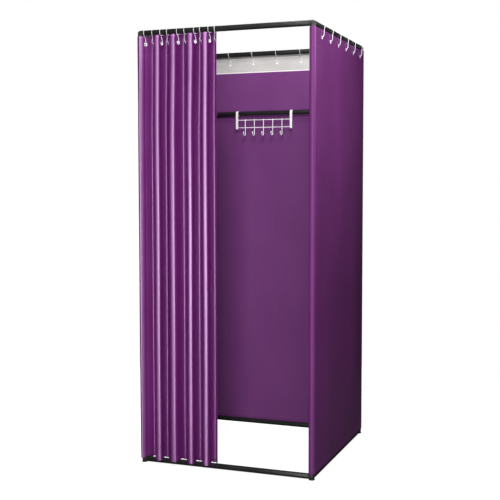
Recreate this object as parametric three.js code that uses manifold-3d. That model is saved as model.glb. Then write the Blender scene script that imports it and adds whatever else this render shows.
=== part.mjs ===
// A portable fitting room: a plug-together tube frame, hung with a wall curtain round three sides
// and a draw curtain across the entrance, with a hook rack on a bar inside.
// Lengths are millimetres and +Z is up. The entrance faces -Y.
// The origin is the middle of the footprint, on the floor.

import * as THREE from "three";
import { mergeVertices } from "three/addons/utils/BufferGeometryUtils.js";
import Module from "manifold-3d";

const wasm = await Module();
wasm.setup();

// Frame, measured over the tubes
const FRAME_WIDTH = 845;
const FRAME_DEPTH = 870;
const FRAME_HEIGHT = 2000;
const TUBE_DIAMETER = 25;
const TUBE_WALL = 1.2;
const TUBE_SIDES = 16;
const FIT_GAP = 0.3; // between pieces that touch, plug in or rest on each other

// Corner connectors, with a plug in the end of each tube
const CORNER_SHOULDER = 16; // from the corner's centre to where its tubes stop
const PLUG_LENGTH = 34;
const PLUG_CHAMFER = 2;
const PLUG_SIDES = 10;
const FOOT_HEIGHT = 2.5; // of the flat foot under each lower corner
const FOOT_DIAMETER = 28;
const FOOT_FLARE = 4; // height over which the foot widens

// Posts come in two sections, the lower one swaged to plug into the upper
const LOWER_POST_LENGTH = 960;
const SWAGE_LENGTH = 50;
const SWAGE_TAPER = 4;

// Bar across the back, held in a saddle clipped on each rear post
const BAR_DIAMETER = 22;
const BAR_WALL = 1.1;
const BAR_DROP = 311.5; // from the top rails' axes to its own
const SADDLE_WALL = 3.2;
const SADDLE_HEIGHT = 30;
const SADDLE_MOUTH = 2.5; // how far past the post's axis the clip reaches
const CUP_WALL = 1.9;
const CUP_REACH = 34; // from the post's axis to the cup's rim
const CUP_DEPTH = 14;

// Cloth
const CLOTH_THICKNESS = 1.2;
const CLOTH_TOP_GAP = 3; // below the top rails
const CLOTH_HEM_GAP = 2; // above the bottom rails
const SLEEVE_EASE = 1; // between a post and the sleeve round it
const SLEEVE_SEAM = 16; // the sleeve's edge, sewn along the wall
const SLEEVE_SEAM_BEND = 5;
const ARC_STEP = Math.PI / 10;

// Hooks, pear-shaped wire rings that go round a rail and through an eyelet
const HOOK_WIRE = 2.4;
const HOOK_SEAT_GAP = 0.6; // between the wire and the rail's crown, and the eyelet's
const HOOK_SIDE_EASE = 2.6; // how much wider the ring is at the rail's sides
const HOOK_REACH = 48; // from the rail's axis down to the wire in the eyelet
const HOOK_NECK = 5; // half the ring's width at its waist
const HOOK_BULB = 6.5; // radius of the ring's lower end
const HOOK_CLASP_GAP = 1.4;
const HOOK_SIDES = 5;
const HOOK_ARC_STEPS = 6; // over the rail
const HOOK_BULB_STEPS = 4;
const HOOK_WAIST_SHARE = 0.52; // of the reach, where the waist is
const HOOK_HIP_SHARE = 0.27; // of the reach, between the rail and the waist
const HOOK_HIP_WIDTH_SHARE = 0.75;
const HOOK_HIP_SHIFT_SHARE = 0.35;
const HOOK_WAIST_TWIST_SHARE = 0.5;
const HOOK_BULB_TWIST_SHARE = 0.9;
const EYELET_BORE = 9;
const EYELET_SIDES = 10;

// Wall hooks
const WALL_HOOKS_PER_SIDE = 6;
const SIDE_HOOK_FRONT_INSET = 91.5; // from the front post's axis to the first eyelet
const SIDE_HOOK_REAR_INSET = 73.5; // from the last eyelet to the rear post's axis
const SIDE_HOOK_LEAN = 34; // how far the taut wall draws each eyelet forwards
const BACK_HOOK_LEFT_INSET = 99.5; // from the left rear post's axis to the first eyelet
const BACK_HOOK_RIGHT_INSET = 55.5;

// Draw curtain, drawn back to the left
const DRAW_HOOK_INSET = 25; // from the post's axis to the first hook
const DRAW_HOOK_RUN = 347; // from the first hook to the leading one
const DRAW_HOOK_SHARES = [0, 0.118, 0.233, 0.33, 0.472, 0.576, 0.712, 0.797, 0.913, 1];
const DRAW_HOOK_LEAN = -1.5;
const FOLD_CLOTH = 92; // cloth between one eyelet and the next
const FOLD_ROUNDING_SHARE = 0.93;
const FOLD_STEPS = 4; // from a hook to the top of a fold
const EDGE_FOLD_WIDTH = 46; // of the fold that wraps the post
const EDGE_FOLD_SHARE = 0.88; // of that fold, the rest being its turned edge
const LEADING_FOLD_WIDTH = 30;
const LEADING_FOLD_SHARE = 0.6;

// Hook rack, hung over the bar
const RACK_OFFSET = -111.5; // of the rack's middle, from the middle of the bar
const STRAP_SPACING = 303;
const STRAP_WIDTH = 15;
const STRAP_THICKNESS = 1.6;
const STRAP_DROP = 84; // from the bar's axis to the strap's tip
const STRAP_REAR_DROP = 12;
const STRAP_ARC_STEPS = 12;
const GRID_WIRE = 4;
const GRID_UPPER_DROP = 36; // from the bar's axis
const GRID_LOWER_DROP = 76;
const PEG_COUNT = 5;
const PEG_PITCH = 51.5;
const PEG_WIRE = 4.4;
const PEG_RISE = 2.2; // of its top above the upper wire's axis
const PEG_DROP = 106; // from the bar's axis to where the peg starts to turn
const PEG_TURN_RADIUS = 13;
const PEG_TIP_RISE = 4;
const PEG_BALL = 8;
const WELD_DEPTH = 0.6;
const PEG_SIDES = 6;
const PEG_TURN_STEPS = 6;
const BALL_SIDES = 8;

// Worked out from the sizes above
const TUBE_RADIUS = TUBE_DIAMETER / 2;
const TUBE_BORE = TUBE_DIAMETER - 2 * TUBE_WALL;
const PLUG_RADIUS = TUBE_BORE / 2 - FIT_GAP;
const POST_X = FRAME_WIDTH / 2 - TUBE_RADIUS;
const POST_Y = FRAME_DEPTH / 2 - TUBE_RADIUS;
const BOTTOM_AXIS_Z = FOOT_HEIGHT + TUBE_RADIUS;
const TOP_AXIS_Z = FRAME_HEIGHT - TUBE_RADIUS;
const BAR_AXIS_Z = TOP_AXIS_Z - BAR_DROP;
const TUBE_SETBACK = CORNER_SHOULDER + FIT_GAP; // from a corner's centre to a tube's end
const CLOTH_TOP_Z = FRAME_HEIGHT - TUBE_DIAMETER - CLOTH_TOP_GAP;
const CLOTH_HEM_Z = FOOT_HEIGHT + TUBE_DIAMETER + CLOTH_HEM_GAP;
const SLEEVE_RADIUS = TUBE_RADIUS + SLEEVE_EASE + CLOTH_THICKNESS / 2; // to mid-cloth
const EYELET_Z = TOP_AXIS_Z - HOOK_REACH - (EYELET_BORE - HOOK_WIRE) / 2 + HOOK_SEAT_GAP;
const BAR_RADIUS = BAR_DIAMETER / 2;

// Finishes
const blackSteel = new THREE.MeshStandardMaterial({ color: 0x2b2b2a, roughness: 0.45, metalness: 0.4 });
const blackPlastic = new THREE.MeshStandardMaterial({ color: 0x232323, roughness: 0.6, metalness: 0 });
const purpleCloth = new THREE.MeshStandardMaterial({ color: 0x6f3470, roughness: 0.5, metalness: 0 });
const brightWire = new THREE.MeshStandardMaterial({ color: 0xd9d8de, roughness: 0.2, metalness: 1 });
const whiteEnamel = new THREE.MeshStandardMaterial({ color: 0xf1ecef, roughness: 0.4, metalness: 0 });

const frameParts = new THREE.Group();
const room = new THREE.Group();
room.add(frameParts);

/** A named piece in the room. */
function addPiece(name, geometry, material) {
  const mesh = new THREE.Mesh(geometry, material);
  mesh.name = name;
  frameParts.add(mesh);
  return mesh;
}

/** A closed mesh as a solid that can be joined and cut. */
function solidOf(geometry) {
  const bare = geometry.index ? geometry.toNonIndexed() : geometry.clone();
  bare.deleteAttribute("normal");
  bare.deleteAttribute("uv");
  const merged = mergeVertices(bare);
  const mesh = new wasm.Mesh({
    numProp: 3,
    vertProperties: merged.attributes.position.array,
    triVerts: new Uint32Array(merged.index.array),
  });
  return new wasm.Manifold(mesh);
}

/** A joined or cut solid as a geometry. */
function geometryOf(solid) {
  const { vertProperties, triVerts } = solid.getMesh();
  const geometry = new THREE.BufferGeometry();
  geometry.setAttribute("position", new THREE.BufferAttribute(vertProperties, 3));
  geometry.setIndex(new THREE.BufferAttribute(triVerts, 1));
  geometry.computeVertexNormals();
  return geometry;
}

/** Several geometries joined into one solid. */
function joined(geometries) {
  return geometries.map(solidOf).reduce((whole, part) => whole.add(part));
}

/** A profile of [radius, height] points turned round the Z axis. */
function revolve(profile, sides) {
  const points = profile.map(([radius, height]) => new THREE.Vector2(radius, height));
  return new THREE.LatheGeometry(points, sides).rotateX(Math.PI / 2);
}

/** A hollow tube along Z, from the origin up. */
function tube(length, outerRadius, innerRadius) {
  const profile = [
    [innerRadius, 0],
    [outerRadius, 0],
    [outerRadius, length],
    [innerRadius, length],
    [innerRadius, 0],
  ];
  return revolve(profile, TUBE_SIDES);
}

/** A solid rod along Z, from the origin up. */
function rod(length, radius) {
  return revolve([[0, 0], [radius, 0], [radius, length], [0, length]], TUBE_SIDES);
}

/** A corner's plug along Z, with its far end chamfered. */
function plug() {
  const end = CORNER_SHOULDER + PLUG_LENGTH;
  const profile = [[0, 0], [PLUG_RADIUS, 0], [PLUG_RADIUS, end - PLUG_CHAMFER]];
  return revolve([...profile, [PLUG_RADIUS - PLUG_CHAMFER, end], [0, end]], PLUG_SIDES);
}

/** A smooth bend through a wire's points, with one facet from each point to the next. */
class WireBend extends THREE.CatmullRomCurve3 {
  getUtoTmapping(share) {
    return share;
  }
}

/** A wire of round section along a bend. */
function wireAlong(bend, diameter, sides) {
  const section = new THREE.Shape();
  for (let i = 0; i < sides; i += 1) {
    const angle = (i / sides) * 2 * Math.PI;
    const place = [(diameter / 2) * Math.cos(angle), (diameter / 2) * Math.sin(angle)];
    if (i === 0) section.moveTo(...place);
    else section.lineTo(...place);
  }
  section.closePath();
  const steps = bend.points.length - 1;
  return new THREE.ExtrudeGeometry(section, { extrudePath: bend, steps, bevelEnabled: false });
}

/** A flat outline extruded up Z. */
function extrudeUp(shape, height) {
  return new THREE.ExtrudeGeometry(shape, { depth: height, bevelEnabled: false, steps: 1 });
}

/** The outline of a sheet of even thickness along an open path of points. */
function sheetShape(path, thickness) {
  const left = [];
  const right = [];
  path.forEach((point, i) => {
    const before = path[Math.max(i - 1, 0)];
    const after = path[Math.min(i + 1, path.length - 1)];
    const arriving = (i > 0 ? point.clone().sub(before) : after.clone().sub(point)).normalize();
    const leaving = (i < path.length - 1 ? after.clone().sub(point) : arriving.clone()).normalize();
    const tangent = arriving.clone().add(leaving).normalize();
    const normal = new THREE.Vector2(-tangent.y, tangent.x);
    const reach = thickness / 2 / tangent.dot(leaving);
    left.push(point.clone().addScaledVector(normal, reach));
    right.push(point.clone().addScaledVector(normal, -reach));
  });
  return new THREE.Shape([...right, ...left.reverse()]);
}

/** A hole for an eyelet, through cloth at a place, along its normal. */
function eyeletHole(place, normal) {
  const length = EYELET_BORE;
  const hole = new THREE.CylinderGeometry(EYELET_BORE / 2, EYELET_BORE / 2, length, EYELET_SIDES);
  hole.rotateX(Math.PI / 2);
  hole.rotateY(Math.PI / 2);
  hole.rotateZ(Math.atan2(normal.y, normal.x));
  hole.translate(place.x, place.y, EYELET_Z);
  return hole;
}

/** A sheet hung from the eyelets at some places, each with the cloth's normal there. */
function hungCloth(path, eyelets) {
  const height = CLOTH_TOP_Z - CLOTH_HEM_Z;
  const sheet = extrudeUp(sheetShape(path, CLOTH_THICKNESS), height).translate(0, 0, CLOTH_HEM_Z);
  const holes = eyelets.map(({ place, normal }) => solidOf(eyeletHole(place, normal)));
  return holes.reduce((cloth, hole) => cloth.subtract(hole), solidOf(sheet));
}

// The four corners of the plan, each turned from the front left one
const CORNERS = [
  { name: "front_left", x: -POST_X, y: -POST_Y, turn: 0 },
  { name: "front_right", x: POST_X, y: -POST_Y, turn: Math.PI / 2 },
  { name: "back_right", x: POST_X, y: POST_Y, turn: Math.PI },
  { name: "back_left", x: -POST_X, y: POST_Y, turn: -Math.PI / 2 },
];

/** A corner connector with arms along +X, +Y and up, or down where it stands at the top. */
function cornerConnector(isTop) {
  const arms = [
    (geometry) => geometry.rotateY(Math.PI / 2),
    (geometry) => geometry.rotateX(-Math.PI / 2),
    (geometry) => (isTop ? geometry.rotateX(Math.PI) : geometry),
  ];
  const pieces = [new THREE.SphereGeometry(TUBE_RADIUS, TUBE_SIDES, TUBE_SIDES / 2)];
  for (const aim of arms) {
    pieces.push(aim(rod(CORNER_SHOULDER, TUBE_RADIUS)));
    pieces.push(aim(plug()));
  }
  if (!isTop) {
    const foot = [
      [0, 0],
      [FOOT_DIAMETER / 2, 0],
      [FOOT_DIAMETER / 2, FOOT_HEIGHT],
      [TUBE_RADIUS, FOOT_HEIGHT + FOOT_FLARE],
      [0, FOOT_HEIGHT + FOOT_FLARE],
    ];
    pieces.push(revolve(foot, TUBE_SIDES).translate(0, 0, -BOTTOM_AXIS_Z));
  }
  return geometryOf(joined(pieces));
}

/** The eight corner connectors. */
function addCorners() {
  for (const isTop of [false, true]) {
    const geometry = cornerConnector(isTop);
    for (const corner of CORNERS) {
      const name = `corner_${isTop ? "top" : "bottom"}_${corner.name}`;
      const mesh = addPiece(name, geometry, blackPlastic);
      mesh.position.set(corner.x, corner.y, isTop ? TOP_AXIS_Z : BOTTOM_AXIS_Z);
      mesh.rotation.z = corner.turn;
    }
  }
}

/** Four rails round the top and four round the bottom, between the corners. */
function addRails() {
  const across = tube(2 * (POST_X - TUBE_SETBACK), TUBE_RADIUS, TUBE_BORE / 2);
  across.translate(0, 0, TUBE_SETBACK - POST_X).rotateY(Math.PI / 2);
  const along = tube(2 * (POST_Y - TUBE_SETBACK), TUBE_RADIUS, TUBE_BORE / 2);
  along.translate(0, 0, TUBE_SETBACK - POST_Y).rotateX(Math.PI / 2);
  for (const [level, height] of [["bottom", BOTTOM_AXIS_Z], ["top", TOP_AXIS_Z]]) {
    addPiece(`${level}_rail_front`, across, blackSteel).position.set(0, -POST_Y, height);
    addPiece(`${level}_rail_back`, across, blackSteel).position.set(0, POST_Y, height);
    addPiece(`${level}_rail_left`, along, blackSteel).position.set(-POST_X, 0, height);
    addPiece(`${level}_rail_right`, along, blackSteel).position.set(POST_X, 0, height);
  }
}

/** Two sections to each post, plugged together. */
function addPosts() {
  const footZ = BOTTOM_AXIS_Z + TUBE_SETBACK;
  const headZ = TOP_AXIS_Z - TUBE_SETBACK;
  const bore = TUBE_BORE / 2;
  const swageOuter = bore - FIT_GAP;
  const swageInner = swageOuter - TUBE_WALL;
  const swaged = [
    [bore, 0],
    [TUBE_RADIUS, 0],
    [TUBE_RADIUS, LOWER_POST_LENGTH],
    [swageOuter, LOWER_POST_LENGTH],
    [swageOuter, LOWER_POST_LENGTH + SWAGE_LENGTH],
    [swageInner, LOWER_POST_LENGTH + SWAGE_LENGTH],
    [swageInner, LOWER_POST_LENGTH],
    [bore, LOWER_POST_LENGTH - SWAGE_TAPER],
    [bore, 0],
  ];
  const lower = revolve(swaged, TUBE_SIDES);
  const upperZ = footZ + LOWER_POST_LENGTH + FIT_GAP;
  const upper = tube(headZ - upperZ, TUBE_RADIUS, bore);
  for (const corner of CORNERS) {
    addPiece(`post_lower_${corner.name}`, lower, blackSteel).position.set(corner.x, corner.y, footZ);
    addPiece(`post_upper_${corner.name}`, upper, blackSteel).position.set(corner.x, corner.y, upperZ);
  }
}

/** The saddle on the left rear post: a clip round the post, and a cup for the bar. */
function saddleGeometry() {
  const gripRadius = TUBE_RADIUS + FIT_GAP;
  const clip = solidOf(rod(SADDLE_HEIGHT, gripRadius + SADDLE_WALL).translate(0, 0, -SADDLE_HEIGHT / 2));
  const cupBore = BAR_RADIUS + FIT_GAP;
  const cup = solidOf(rod(CUP_REACH, cupBore + CUP_WALL).rotateY(Math.PI / 2));
  const cupHollow = rod(CUP_DEPTH + SADDLE_WALL, cupBore).rotateY(Math.PI / 2);
  cupHollow.translate(CUP_REACH - CUP_DEPTH, 0, 0);
  const post = rod(2 * SADDLE_HEIGHT, gripRadius).translate(0, 0, -SADDLE_HEIGHT);
  const mouthSize = 2 * CUP_REACH;
  const mouth = new THREE.BoxGeometry(mouthSize, mouthSize, mouthSize);
  mouth.translate(mouthSize / 2 + SADDLE_MOUTH, 0, 0).rotateZ(3 * Math.PI / 4);
  const body = clip.add(cup).subtract(solidOf(post)).subtract(solidOf(cupHollow));
  return geometryOf(body.subtract(solidOf(mouth)));
}

/** The bar across the back and its two saddles. */
function addBar() {
  const left = addPiece("bar_saddle_left", saddleGeometry(), blackPlastic);
  left.position.set(-POST_X, POST_Y, BAR_AXIS_Z);
  const right = addPiece("bar_saddle_right", saddleGeometry(), blackPlastic);
  right.position.set(POST_X, POST_Y, BAR_AXIS_Z);
  right.scale.x = -1;
  const halfLength = POST_X - CUP_REACH + CUP_DEPTH - FIT_GAP;
  const bar = tube(2 * halfLength, BAR_RADIUS, BAR_RADIUS - BAR_WALL);
  bar.translate(0, 0, -halfLength).rotateY(Math.PI / 2);
  addPiece("mid_bar", bar, blackSteel).position.set(0, POST_Y, BAR_AXIS_Z);
}

/**
 * A hook ring's bend, from its clasp down through the eyelet and up over the rail.
 * The rail's axis passes through the point rail. The cloth hangs offset outwards of that axis,
 * and lean shifts the ring along the rail, more the higher up.
 */
function hookBend({ rail, outward, along, offset, lean, twist }) {
  const crown = TUBE_RADIUS + HOOK_SEAT_GAP + HOOK_WIRE / 2;
  const side = crown + HOOK_SIDE_EASE;
  const waistDrop = HOOK_WAIST_SHARE * HOOK_REACH;
  const hipDrop = HOOK_HIP_SHARE * HOOK_REACH;
  const hip = HOOK_HIP_WIDTH_SHARE * side;
  const bulbTop = HOOK_BULB - HOOK_REACH;
  const points = [];
  const place = (out, up, shiftShare, twistShare) => {
    const angle = twist * twistShare;
    const outReach = out * Math.cos(angle) + offset * shiftShare;
    const alongReach = Math.abs(Math.sin(angle)) * out * Math.sign(twist) + lean * (1 + up / HOOK_REACH);
    const point = rail.clone().addScaledVector(outward, outReach).addScaledVector(along, alongReach);
    points.push(point.setZ(rail.z + up));
  };
  place(-HOOK_NECK, -waistDrop - HOOK_CLASP_GAP, 1, HOOK_WAIST_TWIST_SHARE);
  for (let i = 0; i <= HOOK_BULB_STEPS; i += 1) {
    const angle = (i / HOOK_BULB_STEPS) * Math.PI;
    const share = HOOK_BULB_TWIST_SHARE + (1 - HOOK_BULB_TWIST_SHARE) * Math.sin(angle);
    place(-HOOK_BULB * Math.cos(angle), bulbTop - HOOK_BULB * Math.sin(angle), 1, share);
  }
  place(HOOK_NECK, -waistDrop, 1, HOOK_WAIST_TWIST_SHARE);
  place(hip, -hipDrop, HOOK_HIP_SHIFT_SHARE, 0);
  for (let i = 0; i <= HOOK_ARC_STEPS; i += 1) {
    const angle = (i / HOOK_ARC_STEPS) * Math.PI;
    place(side * Math.cos(angle), crown * Math.sin(angle), 0, 0);
  }
  place(-hip, -hipDrop, HOOK_HIP_SHIFT_SHARE, 0);
  place(-HOOK_NECK, -waistDrop + HOOK_CLASP_GAP, 1, HOOK_WAIST_TWIST_SHARE);
  return new WireBend(points, false, "centripetal");
}

/** A hook ring in the room. */
function addHook(name, setting) {
  addPiece(name, wireAlong(hookBend(setting), HOOK_WIRE, HOOK_SIDES), brightWire);
}

/** Where the wall's eyelets are, with the rail above each one. */
function wallEyelets() {
  const eyelets = [];
  const sideRun = 2 * POST_Y - SIDE_HOOK_FRONT_INSET - SIDE_HOOK_REAR_INSET;
  const backRun = 2 * POST_X - BACK_HOOK_LEFT_INSET - BACK_HOOK_RIGHT_INSET;
  for (let i = 0; i < WALL_HOOKS_PER_SIDE; i += 1) {
    const share = i / (WALL_HOOKS_PER_SIDE - 1);
    const sideY = SIDE_HOOK_FRONT_INSET - POST_Y + share * sideRun;
    const backX = BACK_HOOK_LEFT_INSET - POST_X + share * backRun;
    for (const [name, sign] of [["left", -1], ["right", 1]]) {
      eyelets.push({
        name: `wall_hook_${name}_${i + 1}`,
        rail: new THREE.Vector3(sign * POST_X, sideY, TOP_AXIS_Z),
        outward: new THREE.Vector3(sign, 0, 0),
        along: new THREE.Vector3(0, 1, 0),
        lean: SIDE_HOOK_LEAN,
      });
    }
    eyelets.push({
      name: `wall_hook_back_${i + 1}`,
      rail: new THREE.Vector3(backX, POST_Y, TOP_AXIS_Z),
      outward: new THREE.Vector3(0, 1, 0),
      along: new THREE.Vector3(1, 0, 0),
      lean: 0,
    });
  }
  return eyelets;
}

/** Points on an arc of the sleeve's radius round a post, both ends included. */
function sleeveArc(centreX, centreY, from, to) {
  const steps = Math.ceil(Math.abs(to - from) / ARC_STEP);
  return Array.from({ length: steps + 1 }, (_, i) => {
    const angle = from + ((to - from) * i) / steps;
    const x = centreX + SLEEVE_RADIUS * Math.cos(angle);
    return new THREE.Vector2(x, centreY + SLEEVE_RADIUS * Math.sin(angle));
  });
}

/** The wall's plan: round the back and both sides, and into a sleeve round each front post. */
function wallPath() {
  const wallX = POST_X + SLEEVE_RADIUS;
  const seamX = wallX - CLOTH_THICKNESS - FIT_GAP;
  const sleeveRearY = SLEEVE_RADIUS - POST_Y;
  const rightHalf = [
    ...sleeveArc(POST_X, POST_Y, Math.PI / 2, 0),
    ...sleeveArc(POST_X, -POST_Y, 0, -1.5 * Math.PI),
    new THREE.Vector2(seamX - SLEEVE_SEAM_BEND / 2, sleeveRearY + SLEEVE_SEAM_BEND / 4),
    new THREE.Vector2(seamX, sleeveRearY + SLEEVE_SEAM_BEND),
    new THREE.Vector2(seamX, sleeveRearY + SLEEVE_SEAM_BEND + SLEEVE_SEAM),
  ];
  const leftHalf = rightHalf.map((point) => new THREE.Vector2(-point.x, point.y)).reverse();
  return [...leftHalf, ...rightHalf];
}

/** The wall curtain and its hooks. */
function addWall() {
  const eyelets = wallEyelets();
  const places = eyelets.map(({ rail, outward }) => ({
    place: rail.clone().addScaledVector(outward, SLEEVE_RADIUS),
    normal: outward,
  }));
  addPiece("wall_curtain", geometryOf(hungCloth(wallPath(), places)), purpleCloth);
  for (const { name, ...setting } of eyelets) {
    addHook(name, { ...setting, offset: SLEEVE_RADIUS, twist: 0 });
  }
}

/** The depth of a fold, from the cloth that lies between two eyelets a width apart. */
function foldDepth(width) {
  return (FOLD_ROUNDING_SHARE * Math.sqrt(FOLD_CLOTH ** 2 - width ** 2)) / 2;
}

/** The draw curtain's plan as a smooth line, with where it crosses under the rail at each hook. */
function drawPlan() {
  const hookXs = DRAW_HOOK_SHARES.map((share) => DRAW_HOOK_INSET - POST_X + share * DRAW_HOOK_RUN);
  const firstX = hookXs[0] - EDGE_FOLD_WIDTH;
  const lastX = hookXs[hookXs.length - 1] + LEADING_FOLD_WIDTH;
  const crossings = [firstX, ...hookXs, lastX];
  const knots = [];
  crossings.forEach((x, i) => {
    knots.push(new THREE.Vector2(x, -POST_Y));
    if (i === crossings.length - 1) return;
    const width = crossings[i + 1] - x;
    const forwards = i % 2 === 0 ? -1 : 1;
    knots.push(new THREE.Vector2(x + width / 2, -POST_Y + forwards * foldDepth(width)));
  });
  return { hookXs, knots, line: new THREE.SplineCurve(knots) };
}

/** The draw curtain and its hooks. */
function addDrawCurtain() {
  const { hookXs, knots, line } = drawPlan();
  const spans = knots.length - 1;
  const start = (2 * (1 - EDGE_FOLD_SHARE)) / spans;
  const end = (spans - 2 * (1 - LEADING_FOLD_SHARE)) / spans;
  const steps = Math.round((end - start) * spans * FOLD_STEPS);
  const path = [];
  for (let i = 0; i <= steps; i += 1) path.push(line.getPoint(start + ((end - start) * i) / steps));
  const eyelets = hookXs.map((x, i) => {
    const tangent = line.getTangent((2 * (i + 1)) / spans);
    return { place: new THREE.Vector2(x, -POST_Y), tangent, normal: new THREE.Vector2(-tangent.y, tangent.x) };
  });
  addPiece("front_curtain", geometryOf(hungCloth(path, eyelets)), purpleCloth);
  eyelets.forEach(({ place, tangent }, i) => {
    addHook(`front_hook_${String(i + 1).padStart(2, "0")}`, {
      rail: new THREE.Vector3(place.x, place.y, TOP_AXIS_Z),
      outward: new THREE.Vector3(0, -1, 0),
      along: new THREE.Vector3(1, 0, 0),
      offset: 0,
      lean: DRAW_HOOK_LEAN,
      twist: Math.atan2(tangent.y, tangent.x),
    });
  });
}

/** A strap of the rack: a flat strip bent over the bar, with a rounded lower tip. */
function strapGeometry() {
  const inner = BAR_RADIUS + FIT_GAP;
  const outer = inner + STRAP_THICKNESS;
  const bend = new THREE.Shape();
  bend.moveTo(-outer, -STRAP_DROP);
  bend.lineTo(-outer, 0);
  bend.absarc(0, 0, outer, Math.PI, 0, true);
  bend.lineTo(outer, -STRAP_REAR_DROP);
  bend.lineTo(inner, -STRAP_REAR_DROP);
  bend.lineTo(inner, 0);
  bend.absarc(0, 0, inner, 0, Math.PI, false);
  bend.lineTo(-inner, -STRAP_DROP);
  const options = { depth: STRAP_WIDTH, bevelEnabled: false, curveSegments: STRAP_ARC_STEPS };
  const strip = new THREE.ExtrudeGeometry(bend, options).translate(0, 0, -STRAP_WIDTH / 2);
  strip.rotateX(Math.PI / 2).rotateZ(Math.PI / 2);
  const tip = new THREE.Shape();
  tip.absarc(0, STRAP_WIDTH / 2 - STRAP_DROP, STRAP_WIDTH / 2, Math.PI, 2 * Math.PI, false);
  tip.lineTo(STRAP_WIDTH / 2, 2 * outer);
  tip.lineTo(-STRAP_WIDTH / 2, 2 * outer);
  const face = new THREE.ExtrudeGeometry(tip, {
    depth: 4 * outer,
    bevelEnabled: false,
    curveSegments: STRAP_ARC_STEPS,
  });
  face.translate(0, 0, -2 * outer).rotateX(Math.PI / 2);
  return geometryOf(solidOf(strip).intersect(solidOf(face)));
}

/** The line of one peg, from its top down, round and up to its ball, in the Y-Z plane. */
function pegBend(x, y) {
  const points = [new THREE.Vector3(x, y, PEG_RISE - GRID_UPPER_DROP)];
  points.push(new THREE.Vector3(x, y, -(GRID_UPPER_DROP + PEG_DROP) / 2));
  for (let i = 0; i <= PEG_TURN_STEPS; i += 1) {
    const angle = (i / PEG_TURN_STEPS) * Math.PI;
    const reach = PEG_TURN_RADIUS * (1 - Math.cos(angle));
    points.push(new THREE.Vector3(x, y - reach, -PEG_DROP - PEG_TURN_RADIUS * Math.sin(angle)));
  }
  points.push(new THREE.Vector3(x, y - 2 * PEG_TURN_RADIUS, PEG_TIP_RISE - PEG_DROP));
  return new WireBend(points, false, "centripetal");
}

/** The rack's two wires and its pegs, welded together. */
function gridGeometry() {
  const faceY = -(BAR_RADIUS + FIT_GAP + STRAP_THICKNESS / 2);
  const pegY = faceY - (GRID_WIRE + PEG_WIRE) / 2 + WELD_DEPTH;
  const wireLength = STRAP_SPACING - STRAP_WIDTH - 2 * FIT_GAP;
  const pieces = [GRID_UPPER_DROP, GRID_LOWER_DROP].map((drop) => {
    const wire = new THREE.CylinderGeometry(GRID_WIRE / 2, GRID_WIRE / 2, wireLength, PEG_SIDES);
    return wire.rotateZ(Math.PI / 2).translate(0, faceY, -drop);
  });
  for (let i = 0; i < PEG_COUNT; i += 1) {
    const x = (i - (PEG_COUNT - 1) / 2) * PEG_PITCH;
    const bend = pegBend(x, pegY);
    pieces.push(wireAlong(bend, PEG_WIRE, PEG_SIDES));
    const tip = bend.getPoint(1);
    const ball = new THREE.SphereGeometry(PEG_BALL / 2, BALL_SIDES, BALL_SIDES / 2);
    pieces.push(ball.translate(tip.x, tip.y, tip.z));
  }
  return geometryOf(joined(pieces));
}

/** The hook rack over the bar. */
function addRack() {
  for (const [name, sign] of [["left", -1], ["right", 1]]) {
    const strap = addPiece(`rack_strap_${name}`, strapGeometry(), whiteEnamel);
    strap.position.set(RACK_OFFSET + (sign * STRAP_SPACING) / 2, POST_Y, BAR_AXIS_Z);
  }
  addPiece("rack_grid", gridGeometry(), whiteEnamel).position.set(RACK_OFFSET, POST_Y, BAR_AXIS_Z);
}

addCorners();
addRails();
addPosts();
addBar();
addWall();
addDrawCurtain();
addRack();

// The folds reach further forwards than the hooks reach back, so the room is centred on its box.
const reach = new THREE.Box3().setFromObject(frameParts);
const middle = reach.getCenter(new THREE.Vector3());
frameParts.position.set(-middle.x, -middle.y, 0);

export default room;
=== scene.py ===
"""The looks of a portable fitting room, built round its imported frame.

A square frame of black tube carries a wall curtain round three sides and a draw curtain across the
entrance, both hung from wire hook rings. A white hook rack hangs from a bar across the back.
Lengths are metres and +Z is up. The entrance faces -Y.
"""

import logging
import math
from collections.abc import Callable, Iterator, Sequence
from contextlib import contextmanager
from dataclasses import dataclass, field
from enum import Enum

import bpy
import numpy as np
from mathutils import Matrix, Vector


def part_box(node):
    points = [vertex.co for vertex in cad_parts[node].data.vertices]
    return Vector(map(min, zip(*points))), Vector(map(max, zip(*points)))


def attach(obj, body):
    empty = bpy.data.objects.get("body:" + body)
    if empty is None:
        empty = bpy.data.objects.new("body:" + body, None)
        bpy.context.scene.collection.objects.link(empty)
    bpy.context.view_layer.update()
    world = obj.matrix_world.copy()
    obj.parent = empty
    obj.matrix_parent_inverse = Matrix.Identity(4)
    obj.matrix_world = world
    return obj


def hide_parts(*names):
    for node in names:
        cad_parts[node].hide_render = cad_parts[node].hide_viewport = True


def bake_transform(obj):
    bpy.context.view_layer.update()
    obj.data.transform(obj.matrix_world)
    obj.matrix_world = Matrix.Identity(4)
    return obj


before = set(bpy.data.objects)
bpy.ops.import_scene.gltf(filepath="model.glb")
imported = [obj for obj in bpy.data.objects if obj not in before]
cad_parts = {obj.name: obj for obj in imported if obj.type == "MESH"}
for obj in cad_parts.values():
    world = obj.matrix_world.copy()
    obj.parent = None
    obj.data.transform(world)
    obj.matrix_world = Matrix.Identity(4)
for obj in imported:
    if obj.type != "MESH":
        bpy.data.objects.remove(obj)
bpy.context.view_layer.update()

MAKING = logging.getLogger("fitting_room")

Colour = tuple[float, float, float]
Triple = tuple[float, float, float]
Span = tuple[float, float]
Socket = bpy.types.NodeSocket
Piece = bpy.types.Object
Finish = bpy.types.Material

# The sockets of a Mix node for colours, where several share a name
MIX_SHARE, MIX_FIRST, MIX_SECOND, MIX_COLOUR = 0, 6, 7, 2

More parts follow.
